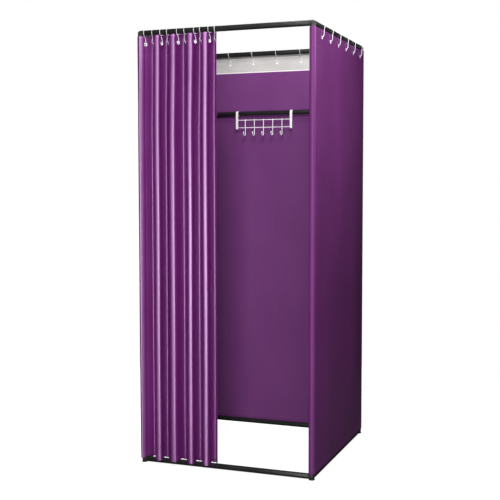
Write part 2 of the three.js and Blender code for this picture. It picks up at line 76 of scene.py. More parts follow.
TUBE_SIDES = 64
WIRE_RINGS = 2  # points between two quarters of a wire's round
WIRE_NOSE = ((0, 0.35), (0.22, 0.72), (0.55, 0.93), (1, 1))  # how a wire's end fills out, from its tip
SHARP = 32  # the least turn between two faces that is rounded over, in degrees


class Axis(Enum):
    """A direction in the room, along which a tube or arm runs."""

    ACROSS = Vector((1, 0, 0))
    INWARDS = Vector((0, 1, 0))
    UP = Vector((0, 0, 1))


class Facing(Enum):
    """The side that a wall of cloth faces outwards to, with the direction along it."""

    LEFT = (Vector((-1, 0, 0)), Vector((0, 1, 0)))
    RIGHT = (Vector((1, 0, 0)), Vector((0, 1, 0)))
    BACK = (Vector((0, 1, 0)), Vector((1, 0, 0)))
    FRONT = (Vector((0, -1, 0)), Vector((1, 0, 0)))


class Smoothing(Enum):
    """The sharpest turn that still looks smooth on each kind of piece, in degrees."""

    TUBE = 34
    MOULDING = 38
    RACK = 40
    CLOTH = 50
    WIRE = 60


# Finishes


class Graph:
    """A tree of nodes, as it is wired up."""

    def __init__(self, tree: bpy.types.NodeTree) -> None:
        """Start with a tree that Blender has made."""
        self.tree = tree

    def own(self, kind: str) -> bpy.types.Node:
        """The tree's first node of a type."""
        return next(node for node in self.tree.nodes if node.type == kind)

    def node(self, kind: str, **settings: object) -> bpy.types.Node:
        """Add a node.

        Args:
            kind: The node's type, without the word ShaderNode.
            settings: Its properties.

        Returns:
            The node.
        """
        made = self.tree.nodes.new("ShaderNode" + kind)
        for name, value in settings.items():
            setattr(made, name, value)
        return made

    def feed(self, socket: Socket, value: object) -> None:
        """Give a socket a link or a constant.

        Args:
            socket: The input.
            value: An output socket, a number or a colour.
        """
        if isinstance(value, Socket):
            self.tree.links.new(value, socket)
        elif isinstance(value, tuple) and len(value) == 3 and len(socket.default_value) == 4:
            socket.default_value = (*value, 1.0)
        else:
            socket.default_value = value

    def sum(self, kind: str, *terms: object) -> Socket:
        """Work out a number.

        Args:
            kind: The Math node's operation.
            terms: Its inputs.

        Returns:
            The answer.
        """
        made = self.node("Math", operation=kind)
        for socket, term in zip(made.inputs, terms):
            self.feed(socket, term)
        return made.outputs[0]

    def weigh(self, *parts: tuple[Socket, float]) -> Socket:
        """Add up some numbers, each times its weight.

        Args:
            parts: The numbers and their weights.

        Returns:
            The total.
        """
        total, *others = (self.sum("MULTIPLY", part, weight) for part, weight in parts)
        for other in others:
            total = self.sum("ADD", total, other)
        return total

    def ramp(self, value: Socket, low: float, high: float, start: float = 0, end: float = 1) -> Socket:
        """Turn a range of numbers smoothly into another.

        Args:
            value: The number.
            low: Where the range starts.
            high: Where it ends.
            start: The answer at its start.
            end: The answer at its end.

        Returns:
            The answer.
        """
        made = self.node("MapRange", interpolation_type="SMOOTHSTEP")
        for socket, term in zip(made.inputs, (value, low, high, start, end)):
            self.feed(socket, term)
        return made.outputs[0]

    def noise(self, place: Socket, scale: Triple, detail: float = 3) -> Socket:
        """Sample soft random variation.

        Args:
            place: The coordinates.
            scale: How many patches to the metre each way.
            detail: How many finer layers lie on it.

        Returns:
            A number from 0 to 1.
        """
        mapping = self.node("Mapping")
        self.feed(mapping.inputs["Vector"], place)
        self.feed(mapping.inputs["Scale"], scale)
        made = self.node("TexNoise")
        self.feed(made.inputs["Vector"], mapping.outputs[0])
        self.feed(made.inputs["Scale"], 1)
        self.feed(made.inputs["Detail"], detail)
        return made.outputs["Fac"]

    def blend(self, share: Socket, first: object, second: object) -> Socket:
        """Mix two colours.

        Args:
            share: How much of the second.
            first: A colour or link.
            second: A colour or link.

        Returns:
            The mixed colour.
        """
        made = self.node("Mix", data_type="RGBA")
        for place, value in ((MIX_SHARE, share), (MIX_FIRST, first), (MIX_SECOND, second)):
            self.feed(made.inputs[place], value)
        return made.outputs[MIX_COLOUR]


class Surface(Graph):
    """The node tree of one material."""

    def __init__(self, name: str) -> None:
        """Start a material with only its shader and output.

        Args:
            name: The material's name.
        """
        self.material = bpy.data.materials.new(name)
        self.material.use_nodes = True
        super().__init__(self.material.node_tree)
        self.shader = self.own("BSDF_PRINCIPLED")

    def solid_map(self) -> Socket:
        """The coordinates of a hard piece."""
        return self.node("TexCoord").outputs["Object"]

    def cloth_map(self) -> tuple[Socket, Socket, Socket]:
        """Read a cloth's own flat map.

        Returns:
            The map, and the coordinates along the cloth and up it.
        """
        flat = self.node("UVMap").outputs["UV"]
        split = self.node("SeparateXYZ")
        self.feed(split.inputs[0], flat)
        return flat, split.outputs[0], split.outputs[1]

    def yarns(self, place: Socket, pitch: float) -> Socket:
        """Parallel yarns as a wave from -1 to 1, a whole turn for each pitch."""
        return self.sum("SINE", self.sum("MULTIPLY", place, math.tau / pitch))

    def bump(self, height: Socket, depth: float, strength: float = 1) -> Socket:
        """Raise the surface by a height.

        Args:
            height: From 0 to 1.
            depth: What 1 stands for, in metres.
            strength: How much of it shows.

        Returns:
            The normal.
        """
        made = self.node("Bump")
        self.feed(made.inputs["Strength"], strength)
        self.feed(made.inputs["Distance"], depth)
        self.feed(made.inputs["Height"], height)
        return made.outputs[0]

    def coat(self, **values: object) -> Finish:
        """Set the shader's inputs.

        Args:
            values: Links or constants, by the input's name with _ for a space.

        Returns:
            The finished material.
        """
        for name, value in values.items():
            self.feed(self.shader.inputs[name.replace("_", " ")], value)
        return self.material


@dataclass(frozen=True)
class PowderCoat:
    """Baked paint on steel, with a fine orange peel and a few scuffs."""

    name: str
    colour: Colour
    scuffed: Colour
    roughness: float = 0.36
    peel_scale: float = 900
    peel_depth: float = 0.00003
    level: float = 0.5
    cloud_scale: float = 9
    cloud_share: float = 0.5
    scuff_scale: Triple = (160, 160, 38)
    scuff_range: Span = (0.62, 0.78)
    scuff_share: float = 0.45
    glossier: float = 0.05
    duller: float = 0.07

    def material(self) -> Finish:
        """Make the paint.

        Returns:
            The material.
        """
        surface = Surface(self.name)
        place = surface.solid_map()
        peel = surface.noise(place, (self.peel_scale,) * 3, 2)
        cloud = surface.noise(place, (self.cloud_scale,) * 3, 4)
        scuff = surface.ramp(surface.noise(place, self.scuff_scale, 5), *self.scuff_range)
        shade = surface.blend(surface.ramp(cloud, 0.3, 0.7, 0, self.cloud_share), self.colour, self.scuffed)
        shade = surface.blend(surface.sum("MULTIPLY", scuff, self.scuff_share), shade, self.scuffed)
        rough = surface.ramp(cloud, 0.2, 0.8, self.roughness - self.glossier, self.roughness + self.duller)
        return surface.coat(
            Base_Color=shade,
            Roughness=rough,
            Specular_IOR_Level=self.level,
            Normal=surface.bump(peel, self.peel_depth),
        )


@dataclass(frozen=True)
class MouldedPlastic:
    """Injection-moulded plastic with a fine spark-eroded grain."""

    name: str
    colour: Colour
    rubbed: Colour
    roughness: float = 0.5
    uneven: float = 0.06
    grain_scale: float = 1500
    grain_depth: float = 0.00004
    flow_scale: float = 30

    def material(self) -> Finish:
        """Make the plastic.

        Returns:
            The material.
        """
        surface = Surface(self.name)
        place = surface.solid_map()
        grain = surface.noise(place, (self.grain_scale,) * 3, 2)
        flow = surface.noise(place, (self.flow_scale,) * 3, 4)
        shade = surface.blend(surface.ramp(flow, 0.35, 0.7), self.colour, self.rubbed)
        rough = surface.ramp(flow, 0.2, 0.8, self.roughness + self.uneven, self.roughness - self.uneven)
        return surface.coat(Base_Color=shade, Roughness=rough, Normal=surface.bump(grain, self.grain_depth))


@dataclass(frozen=True)
class DrawnWire:
    """Bright drawn and plated steel."""

    name: str
    colour: Colour
    dulled: Colour
    metal: float
    roughness: float = 0.3
    duller: float = 0.14
    drawn_scale: Triple = (900, 900, 60)
    drawn_depth: float = 0.00002
    cloud_scale: float = 60

    def material(self) -> Finish:
        """Make the metal.

        Returns:
            The material.
        """
        surface = Surface(self.name)
        place = surface.solid_map()
        drawn = surface.noise(place, self.drawn_scale)
        cloud = surface.noise(place, (self.cloud_scale,) * 3)
        shade = surface.blend(surface.ramp(cloud, 0.35, 0.75), self.colour, self.dulled)
        rough = surface.ramp(cloud, 0.2, 0.8, self.roughness, self.roughness + self.duller)
        return surface.coat(
            Base_Color=shade,
            Roughness=rough,
            Metallic=self.metal,
            Normal=surface.bump(drawn, self.drawn_depth),
        )


@dataclass(frozen=True)
class Stitching:
    """Rows of machine stitches on a cloth, given on its own flat map in metres."""

    level_rows: tuple[float, ...]
    upright_rows: tuple[float, ...] = ()
    pitch: float = 0.0034
    thread: float = 0.0007
    fill: float = 0.74
    fade: float = 0.08

    def row(self, surface: Surface, across: Socket, along: Socket, place: float) -> Socket:
        """Mark one row.

        Args:
            surface: The material being made.
            across: The map coordinate across the row.
            along: The map coordinate along it.
            place: Where the row is.

        Returns:
            1 on the thread and 0 off it.
        """
        off = surface.sum("ABSOLUTE", surface.sum("SUBTRACT", across, place))
        band = surface.ramp(off, self.thread / 2, self.thread, 1, 0)
        turn = surface.sum("FRACT", surface.sum("DIVIDE", along, self.pitch))
        middle = surface.sum("ABSOLUTE", surface.sum("SUBTRACT", turn, 0.5))
        dash = surface.ramp(middle, self.fill / 2 - self.fade, self.fill / 2, 1, 0)
        return surface.sum("MULTIPLY", band, dash)

    def mask(self, surface: Surface, u: Socket, v: Socket) -> Socket:
        """Mark every row.

        Args:
            surface: The material being made.
            u: The coordinate along the cloth.
            v: The coordinate up it.

        Returns:
            1 on thread and 0 off it.
        """
        whole, *marks = (self.row(surface, v, u, place) for place in self.level_rows)
        marks += [self.row(surface, u, v, place) for place in self.upright_rows]
        for mark in marks:
            whole = surface.sum("MAXIMUM", whole, mark)
        return whole


@dataclass(frozen=True)
class Satin:
    """Polyester satin, smooth and glossy with a close weave."""

    name: str
    colour: Colour
    deep: Colour
    stitching: Stitching
    roughness: float
    index: float
    level: float
    thread: Colour = (0.26, 0.09, 0.26)
    gloss: Colour = (0.94, 0.62, 1.0)
    glossier: float = 0.03
    duller: float = 0.04
    slub_scale: Triple = (520, 9, 1)
    pick_scale: Triple = (11, 620, 1)
    cloud_scale: Triple = (5, 3.2, 1)
    pick_share: float = 0.2
    shade_range: Span = (0.34, 0.66)
    yarn: float = 0.00032
    twill_slope: float = 2
    twill_yarns: float = 4
    warp_height: float = 0.3
    weft_height: float = 0.2
    slub_height: float = 0.6
    stitch_height: float = 6
    stitch_share: float = 0.85
    weave_depth: float = 0.00004
    weave_strength: float = 0.6

    def material(self) -> Finish:
        """Make the cloth.

        Returns:
            The material.
        """
        surface = Surface(self.name)
        flat, u, v = surface.cloth_map()
        slub = surface.noise(flat, self.slub_scale)
        pick = surface.noise(flat, self.pick_scale)
        cloud = surface.noise(flat, self.cloud_scale)
        uneven = surface.weigh((slub, 0.5), (cloud, 0.5))
        uneven = surface.weigh((uneven, 1 - self.pick_share), (pick, self.pick_share))
        shade = surface.blend(surface.ramp(uneven, *self.shade_range), self.deep, self.colour)
        warp = surface.yarns(u, self.yarn)
        twill = surface.sum("ADD", surface.sum("MULTIPLY", u, self.twill_slope), v)
        weft = surface.yarns(twill, self.yarn * self.twill_yarns)
        stitches = self.stitching.mask(surface, u, v)
        shade = surface.blend(surface.sum("MULTIPLY", stitches, self.stitch_share), shade, self.thread)
        height = surface.weigh(
            (warp, self.warp_height),
            (weft, self.weft_height),
            (slub, self.slub_height),
            (stitches, self.stitch_height),
        )
        rough = surface.ramp(cloud, 0.25, 0.75, self.roughness - self.glossier, self.roughness + self.duller)
        return surface.coat(
            Base_Color=shade,
            Roughness=rough,
            IOR=self.index,
            Specular_IOR_Level=self.level,
            Specular_Tint=self.gloss,
            Normal=surface.bump(height, self.weave_depth, self.weave_strength),
        )


@dataclass(frozen=True)
class TapeWeave:
    """Stiff pale tape with a plain weave and a bright corded edge."""

    name: str
    colour: Colour
    shaded: Colour
    edge: Colour
    edge_low: float
    edge_high: float
    edge_fade: float = 0.001
    roughness: float = 0.72
    sheen: float = 0.15
    cloud_scale: Triple = (7, 26, 1)
    rib_scale: Triple = (900, 14, 1)
    rib_share: float = 0.3
    yarn: float = 0.0011
    weave_height: float = 0.5
    cord_height: float = 4
    weave_depth: float = 0.00012
    weave_strength: float = 0.8

    def material(self) -> Finish:
        """Make the tape.

        Returns:
            The material.
        """
        surface = Surface(self.name)
        flat, u, v = surface.cloth_map()
        woven = surface.sum("MULTIPLY", surface.yarns(u, self.yarn), surface.yarns(v, self.yarn))
        cloud = surface.noise(flat, self.cloud_scale, 4)
        rib = surface.noise(flat, self.rib_scale, 2)
        shade = surface.blend(surface.ramp(cloud, 0.3, 0.7), self.shaded, self.colour)
        shade = surface.blend(surface.ramp(rib, 0.45, 0.75, 0, self.rib_share), shade, self.shaded)
        above = surface.ramp(v, self.edge_low, self.edge_low + self.edge_fade)
        below = surface.ramp(v, self.edge_high, self.edge_high + self.edge_fade, 1, 0)
        corded = surface.sum("MULTIPLY", above, below)
        height = surface.weigh((woven, self.weave_height), (corded, self.cord_height))
        return surface.coat(
            Base_Color=surface.blend(corded, shade, self.edge),
            Roughness=self.roughness,
            Sheen_Weight=self.sheen,
            Normal=surface.bump(height, self.weave_depth, self.weave_strength),
        )


# Modelling moves


def pick(*pieces: Piece) -> None:
    """Select only some pieces.

    Args:
        pieces: The pieces, the first to be the active one.
    """
    bpy.ops.object.select_all(action="DESELECT")
    for piece in pieces:
        piece.select_set(True)
    bpy.context.view_layer.objects.active = pieces[0]


@contextmanager
def editing(piece: Piece) -> Iterator[None]:
    """Hold a piece in edit mode.

    Args:
        piece: The piece.
    """
    pick(piece)
    bpy.ops.object.mode_set(mode="EDIT")
    yield
    bpy.ops.object.mode_set(mode="OBJECT")


def added(operator: Callable[..., object], **settings: object) -> Piece:
    """Add an object with nothing else selected.

    Args:
        operator: What adds it.
        settings: The operator's settings.

    Returns:
        The new object.
    """
    bpy.ops.object.select_all(action="DESELECT")
    operator(**settings)
    return bpy.context.object


def settle(piece: Piece, name: str) -> Piece:
    """Name a piece and put its place, turn and scale into its mesh.

    Args:
        piece: The piece.
        name: Its name.

    Returns:
        The piece.
    """
    piece.name = name
    piece.data.name = name
    pick(piece)
    bpy.ops.object.transform_apply(location=True, rotation=True, scale=True)
    return piece


def modify(piece: Piece, kind: str, **settings: object) -> None:
    """Shape a piece with a modifier and apply it.

    Args:
        piece: The piece.
        kind: The modifier's type.
        settings: Its properties.
    """
    modifier = piece.modifiers.new(kind.lower(), kind)
    for name, value in settings.items():
        setattr(modifier, name, value)
    pick(piece)
    bpy.ops.object.modifier_apply(modifier=modifier.name)


def soften(piece: Piece, width: float, segments: int = 2) -> None:
    """Round a piece's sharp edges.

    Args:
        piece: The piece.
        width: How wide the rounding is.
        segments: How many faces it has.
    """
    modify(
        piece,
        "BEVEL",
        width=width,
        segments=segments,
        limit_method="ANGLE",
        angle_limit=math.radians(SHARP),
        use_clamp_overlap=True,
    )


def smooth(piece: Piece, smoothing: Smoothing = Smoothing.TUBE) -> None:
    """Shade a piece smooth, but for its sharp edges.

    Args:
        piece: The piece.
        smoothing: The kind of piece that it is.
    """
    pick(piece)
    bpy.ops.object.shade_smooth_by_angle(angle=math.radians(smoothing.value))


def hollow(piece: Piece, wall: float, lip: float) -> None:
    """Give an open tube its wall and ease its rims.

    Args:
        piece: The tube, whose outer face stays where it is.
        wall: Its wall's thickness.
        lip: How wide its rims are rounded.
    """
    modify(piece, "SOLIDIFY", thickness=wall, offset=-1, use_even_offset=True)
    soften(piece, lip)
    smooth(piece)


def weld(whole: Piece, *parts: Piece, cut: bool = False) -> None:
    """Join parts into a piece, or cut them out of it.

    Args:
        whole: The piece.
        parts: What is joined or cut, used up.
        cut: Whether the parts are cut out.
    """
    for part in parts:
        modify(whole, "BOOLEAN", operation="DIFFERENCE" if cut else "UNION", object=part, solver="EXACT")
        bpy.data.objects.remove(part, do_unlink=True)


def tidy_mesh(piece: Piece, gap: float = 1e-6) -> None:
    """Merge a mesh's doubles and turn its faces outwards.

    Args:
        piece: The piece.
        gap: How close two points are to be one.
    """
    with editing(piece):
        bpy.ops.mesh.select_all(action="SELECT")
        bpy.ops.mesh.remove_doubles(threshold=gap)
        bpy.ops.mesh.normals_make_consistent(inside=False)


def choose(piece: Piece, test: Callable[[Vector], bool]) -> None:
    """Select some of a mesh's points and the edges between them, for the next edit.

    Args:
        piece: The piece.
        test: Says of a point whether it is taken.
    """
    with editing(piece):
        bpy.ops.mesh.select_all(action="DESELECT")
    points = piece.data.vertices
    for point in points:
        point.select = test(point.co)
    for edge in piece.data.edges:
        edge.select = all(points[i].select for i in edge.vertices)


def draw_out(height: float) -> None:
    """Extrude the selected edges upwards."""
    bpy.ops.mesh.extrude_edges_move(TRANSFORM_OT_translate={"value": (0, 0, height)})


def rod(start: Vector, end: Vector, radius: float, sides: int = TUBE_SIDES, open_ends: bool = False) -> Piece:
    """Add a round rod between two points.

    Args:
        start: Where its axis starts.
        end: Where its axis ends.
        radius: Its radius.
        sides: How many sides it has.
        open_ends: Whether its ends are left off.

    Returns:
        The rod, with its place in its mesh.
    """
    along = end - start
    piece = added(
        bpy.ops.mesh.primitive_cylinder_add,
        vertices=sides,
        radius=radius,
        depth=along.length,
        end_fill_type="NOTHING" if open_ends else "NGON",
        location=(start + end) / 2,
        rotation=along.to_track_quat("Z", "Y").to_euler(),
    )
    return settle(piece, "rod")


def ball(place: Vector, radius: float, sides: int = 24) -> Piece:
    """Add a ball.

    Args:
        place: Its middle.
        radius: Its radius.
        sides: How many sides it has round its waist.

    Returns:
        The ball, with its place in its mesh.
    """
    operator = bpy.ops.mesh.primitive_uv_sphere_add
    piece = added(operator, segments=sides, ring_count=sides // 2, radius=radius, location=place)
    return settle(piece, "ball")


def bent_wire(name: str, line: Sequence[Vector], radius: float) -> Piece:
    """Draw a wire of round section along a line, with its ends rounded over.

    Args:
        name: The wire's name.
        line: Close points along its middle.
        radius: Its radius.

    Returns:
        The wire as a closed mesh.
    """
    first = (line[0] - line[1]).normalized()
    last = (line[-1] - line[-2]).normalized()
    points = [(line[0] + first * radius * (1 - share), size) for share, size in WIRE_NOSE]
    points += [(point, 1) for point in line[1:-1]]
    points += [(line[-1] + last * radius * (1 - share), size) for share, size in reversed(WIRE_NOSE)]
    piece = added(bpy.ops.curve.primitive_bezier_curve_add)
    curve = piece.data
    curve.splines.clear()
    spline = curve.splines.new("POLY")
    spline.points.add(len(points) - 1)
    for knot, (point, size) in zip(spline.points, points):
        knot.co = (*point, 1)
        knot.radius = size
    curve.dimensions = "3D"
    curve.twist_mode = "MINIMUM"
    curve.bevel_depth = radius
    curve.bevel_resolution = WIRE_RINGS
    curve.use_fill_caps = True
    bpy.ops.object.convert(target="MESH")
    piece = settle(bpy.context.object, name)
    tidy_mesh(piece)
    return piece


def eased(share: np.ndarray) -> np.ndarray:
    """A share kept between 0 and 1, with a smooth start and end."""
    kept = np.clip(share, 0, 1)
    return kept * kept * (3 - 2 * kept)


def spaced(start: float, end: float, fine: Sequence[Span], fine_step: float, step: float) -> np.ndarray:
    """Stops along a length, closer together in some stretches.

    Args:
        start: The first stop.
        end: The last stop.
        fine: Where the close stretches start and end.
        fine_step: The most between two stops there.
        step: The most between two others.

    Returns:
        The stops in order.
    """
    edges = sorted({start, end, *(min(max(x, start), end) for stretch in fine for x in stretch)})
    stops = [start]
    for low, high in zip(edges, edges[1:]):
        close = any(a <= (low + high) / 2 <= b for a, b in fine)
        count = max(1, math.ceil((high - low) / (fine_step if close else step) - 1e-6))
        stops.extend(np.linspace(low, high, count + 1)[1:])
    return np.array(stops)


@dataclass
class Weaving:
    """A sheet of cloth as a grid of points, with its own flat map."""

    points: np.ndarray  # rows up the cloth, columns along it, and x, y and z
    along: np.ndarray  # the flat coordinate of each column
    up: np.ndarray  # the flat coordinate of each row
    holes: Sequence[Span]
    hole_radius: float = 0.0058
    slots: int = 4
    lined_slot: int = 2

    def is_open(self, u: float, v: float) -> bool:
        """Whether a place on the flat map is in a hole."""
        return any(math.hypot(u - a, v - b) < self.hole_radius for a, b in self.holes)

    def piece(self, name: str, thickness: float, lining: Callable[[float], bool] | None = None) -> Piece:
        """Make the sheet.

        Args:
            name: Its name.
            thickness: Its thickness.
            lining: Says of a height on the flat map whether the back is lined there.

        Returns:
            The sheet as a closed thin solid. Its front uses its first material, its back the
            second, and where it is lined the third and the fourth.
        """
        rows, columns = self.points.shape[:2]
        faces = []
        kinds = []
        middle_u = (self.along[1:] + self.along[:-1]) / 2
        middle_v = (self.up[1:] + self.up[:-1]) / 2
        for j in range(rows - 1):
            for i in range(columns - 1):
                if self.is_open(middle_u[i], middle_v[j]):
                    continue
                corner = j * columns + i
                faces.append((corner, corner + 1, corner + columns + 1, corner + columns))
                kinds.append(self.lined_slot if lining is not None and lining(middle_v[j]) else 0)
        mesh = bpy.data.meshes.new(name)
        mesh.from_pydata(self.points.reshape(-1, 3).tolist(), [], faces)
        mesh.update()
        flat = mesh.uv_layers.new(name="flat")
        loops = np.empty(len(mesh.loops), np.int32)
        mesh.loops.foreach_get("vertex_index", loops)
        places = np.stack([self.along[loops % columns], self.up[loops // columns]], 1)
        flat.data.foreach_set("uv", places.astype(np.float32).ravel())
        piece = bpy.data.objects.new(name, mesh)
        bpy.context.collection.objects.link(piece)
        for _ in range(self.slots):
            mesh.materials.append(None)
        mesh.polygons.foreach_set("material_index", kinds)
        with editing(piece):
            bpy.ops.mesh.select_all(action="SELECT")
            bpy.ops.mesh.delete_loose()
        modify(piece, "SOLIDIFY", thickness=thickness, offset=0, use_even_offset=True, material_offset=1)
        smooth(piece, Smoothing.CLOTH)
        return piece


def wear(piece: Piece, *materials: Finish) -> None:
    """Put materials on a piece.

    Args:
        piece: The piece.
        materials: One for each of its slots, in order.
    """
    slots = piece.data.materials
    for i, material in enumerate(materials):
        if i < len(slots):
            slots[i] = material
        else:
            slots.append(material)


def place_piece(
    piece: Piece, name: str, body: str, nodes: Sequence[str], slot: str, *materials: Finish
) -> Piece:
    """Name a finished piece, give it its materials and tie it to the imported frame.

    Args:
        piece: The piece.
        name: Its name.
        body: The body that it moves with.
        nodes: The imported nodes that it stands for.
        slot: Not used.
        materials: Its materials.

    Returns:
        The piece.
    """
    piece.name = name
    wear(piece, *materials)
    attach(piece, body)
    if nodes:
        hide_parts(*nodes)
    MAKING.info("%s rides on %s, %d faces", piece.name, body, len(piece.data.polygons))
    return piece


# Sub-assemblies


@dataclass
class Plan:
    """Where the frame's axes are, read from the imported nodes."""

    left: float = field(init=False)
    right: float = field(init=False)
    front: float = field(init=False)
    rear: float = field(init=False)
    floor_rail: float = field(init=False)
    top_rail: float = field(init=False)
    bar: float = field(init=False)

    def __post_init__(self) -> None:
        """Read the axes."""
        self.left = self.middle("top_rail_left").x
        self.right = self.middle("top_rail_right").x
        self.front = self.middle("top_rail_front").y
        self.rear = self.middle("top_rail_back").y
        self.floor_rail = self.middle("bottom_rail_back").z
        self.top_rail = self.middle("top_rail_back").z
        self.bar = self.middle("mid_bar").z

    @staticmethod
    def middle(node: str) -> Vector:
        """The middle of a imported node's box."""
        low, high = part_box(node)
        return (low + high) / 2

    def open_tube(self, node: str, axis: Axis, radius: float) -> Piece:
        """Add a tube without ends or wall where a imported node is.

        Args:
            node: The node.
            axis: Its direction.
            radius: Its outer radius.

        Returns:
            The tube.
        """
        low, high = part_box(node)
        half = axis.value * ((high - low).dot(axis.value) / 2)
        return rod(self.middle(node) - half, self.middle(node) + half, radius, open_ends=True)


@dataclass
class TubeFrame:
    """The rails, posts and corner connectors."""

    plan: Plan
    steel: Finish
    plastic: Finish
    radius: float = 0.0125
    wall: float = 0.0012
    lip: float = 0.00035
    shoulder: float = 0.016
    knuckle_proud: float = 0.00008
    arm_overlap: float = 0.0003
    arm_shrink: float = 0.00001
    plug_radius: float = 0.011
    plug_length: float = 0.034
    plug_sides: int = 40
    plug_round: float = 0.0018
    plug_rib: float = 0.0004
    rib_shares: tuple[float, ...] = (0.3, 0.6, 0.88)
    rib_half: float = 0.0012
    rib_round: float = 0.0003
    foot_radius: float = 0.014
    foot_height: float = 0.0026
    foot_round: float = 0.0007
    foot_flare: float = 0.004
    flare_inset: float = 0.0004
    swage_radius: float = 0.011
    swage_length: float = 0.05
    swage_taper: float = 0.0016

    def tube(self, node: str, axis: Axis) -> None:
        """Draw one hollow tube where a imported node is.

        Args:
            node: The node.
            axis: Its direction.
        """
        piece = self.plan.open_tube(node, axis, self.radius)
        hollow(piece, self.wall, self.lip)
        name = node.replace("rail", "tube") if "rail" in node else node + "_tube"
        place_piece(piece, name, "root", [node], "steel_tube", self.steel)

    def rails(self) -> None:
        """Draw the eight rails."""
        for level in ("bottom", "top"):
            for side in ("front", "back"):
                self.tube(f"{level}_rail_{side}", Axis.ACROSS)
            for side in ("left", "right"):
                self.tube(f"{level}_rail_{side}", Axis.INWARDS)

    def swaged_post(self, node: str) -> None:
        """Draw a lower post, its upper end drawn in to plug into the next one.

        Args:
            node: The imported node.
        """
        low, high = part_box(node)
        shoulder = self.plan.middle(node)
        shoulder.z = high.z - self.swage_length
        start = Vector((shoulder.x, shoulder.y, low.z))
        piece = rod(start, shoulder, self.radius, open_ends=True)
        choose(piece, lambda point: point.z > shoulder.z - 1e-4)
        taper = self.swage_radius / self.radius
        with editing(piece):
            draw_out(self.swage_taper)
            bpy.ops.transform.resize(value=(taper, taper, 1), center_override=shoulder)
            draw_out(self.swage_length - self.swage_taper)
        hollow(piece, self.wall, self.lip)
        place_piece(piece, node + "_tube", "root", [node], "steel_tube", self.steel)

    def posts(self) -> None:
        """Draw the four posts, each in two sections."""
        for corner in ("front_left", "front_right", "back_right", "back_left"):
            self.swaged_post(f"post_lower_{corner}")
            self.tube(f"post_upper_{corner}", Axis.UP)

    def plug(self, along: Vector) -> Piece:
        """Make a ribbed plug along a direction from the origin.

        Args:
            along: The direction.

        Returns:
            The plug.
        """
        end = self.shoulder + self.plug_length
        piece = rod(along * self.shoulder / 2, along * end, self.plug_radius - self.plug_rib, self.plug_sides)
        soften(piece, self.plug_round, 3)
        for share in self.rib_shares:
            at = self.shoulder + self.plug_length * share
            ends = (along * (at - self.rib_half), along * (at + self.rib_half))
            rib = rod(*ends, self.plug_radius, self.plug_sides)
            soften(rib, self.rib_round, 1)
            weld(piece, rib)
        return piece

    def connector(self, is_top: bool) -> Piece:
        """Mould a corner connector with arms along +X, +Y and up, or down at the top.

        Args:
            is_top: Whether it stands at the top.

        Returns:
            The connector, its centre at the origin.
        """
        arms = (Axis.ACROSS.value, Axis.INWARDS.value, Vector((0, 0, -1 if is_top else 1)))
        # Parts that share a surface weld into an open mesh, so each arm has its own radius and start,
        # and the foot's top is above the arms' lowest line
        piece = ball(Vector((0, 0, 0)), self.radius + self.knuckle_proud, TUBE_SIDES)
        for i, along in enumerate(arms):
            start = along * -self.arm_overlap * (i + 1)
            weld(piece, rod(start, along * self.shoulder, self.radius - self.arm_shrink * i))
        if not is_top:
            base = Vector((0, 0, -self.plan.floor_rail))
            stem = base + Vector((0, 0, self.foot_height))
            foot = rod(base, stem, self.foot_radius)
            soften(foot, self.foot_round, 3)
            tip = stem + Vector((0, 0, self.foot_flare))
            weld(piece, rod((base + stem) / 2, tip, self.radius - self.flare_inset), foot)
        tidy_mesh(piece)
        for along in arms:
            weld(piece, self.plug(along))
        tidy_mesh(piece)
        smooth(piece, Smoothing.MOULDING)
        return piece

    def connectors(self) -> None:
        """Copy the two connectors to the eight corners."""
        plan = self.plan
        corners = {
            "front_left": (plan.left, plan.front, 0),
            "front_right": (plan.right, plan.front, math.pi / 2),
            "back_right": (plan.right, plan.rear, math.pi),
            "back_left": (plan.left, plan.rear, -math.pi / 2),
        }
        for level, height in (("bottom", plan.floor_rail), ("top", plan.top_rail)):
            master = self.connector(level == "top")
            for corner, (x, y, turn) in corners.items():
                piece = master.copy()
                piece.data = master.data.copy()
                bpy.context.collection.objects.link(piece)
                piece.location = (x, y, height)
                piece.rotation_euler = (0, 0, turn)
                name = f"connector_{level}_{corner}"
                settle(piece, name)
                place_piece(piece, name, "root", [f"corner_{level}_{corner}"], "moulded_black", self.plastic)
            bpy.data.objects.remove(master, do_unlink=True)

    def build(self) -> None:
        """Build the frame."""
        self.rails()
        self.posts()
        self.connectors()


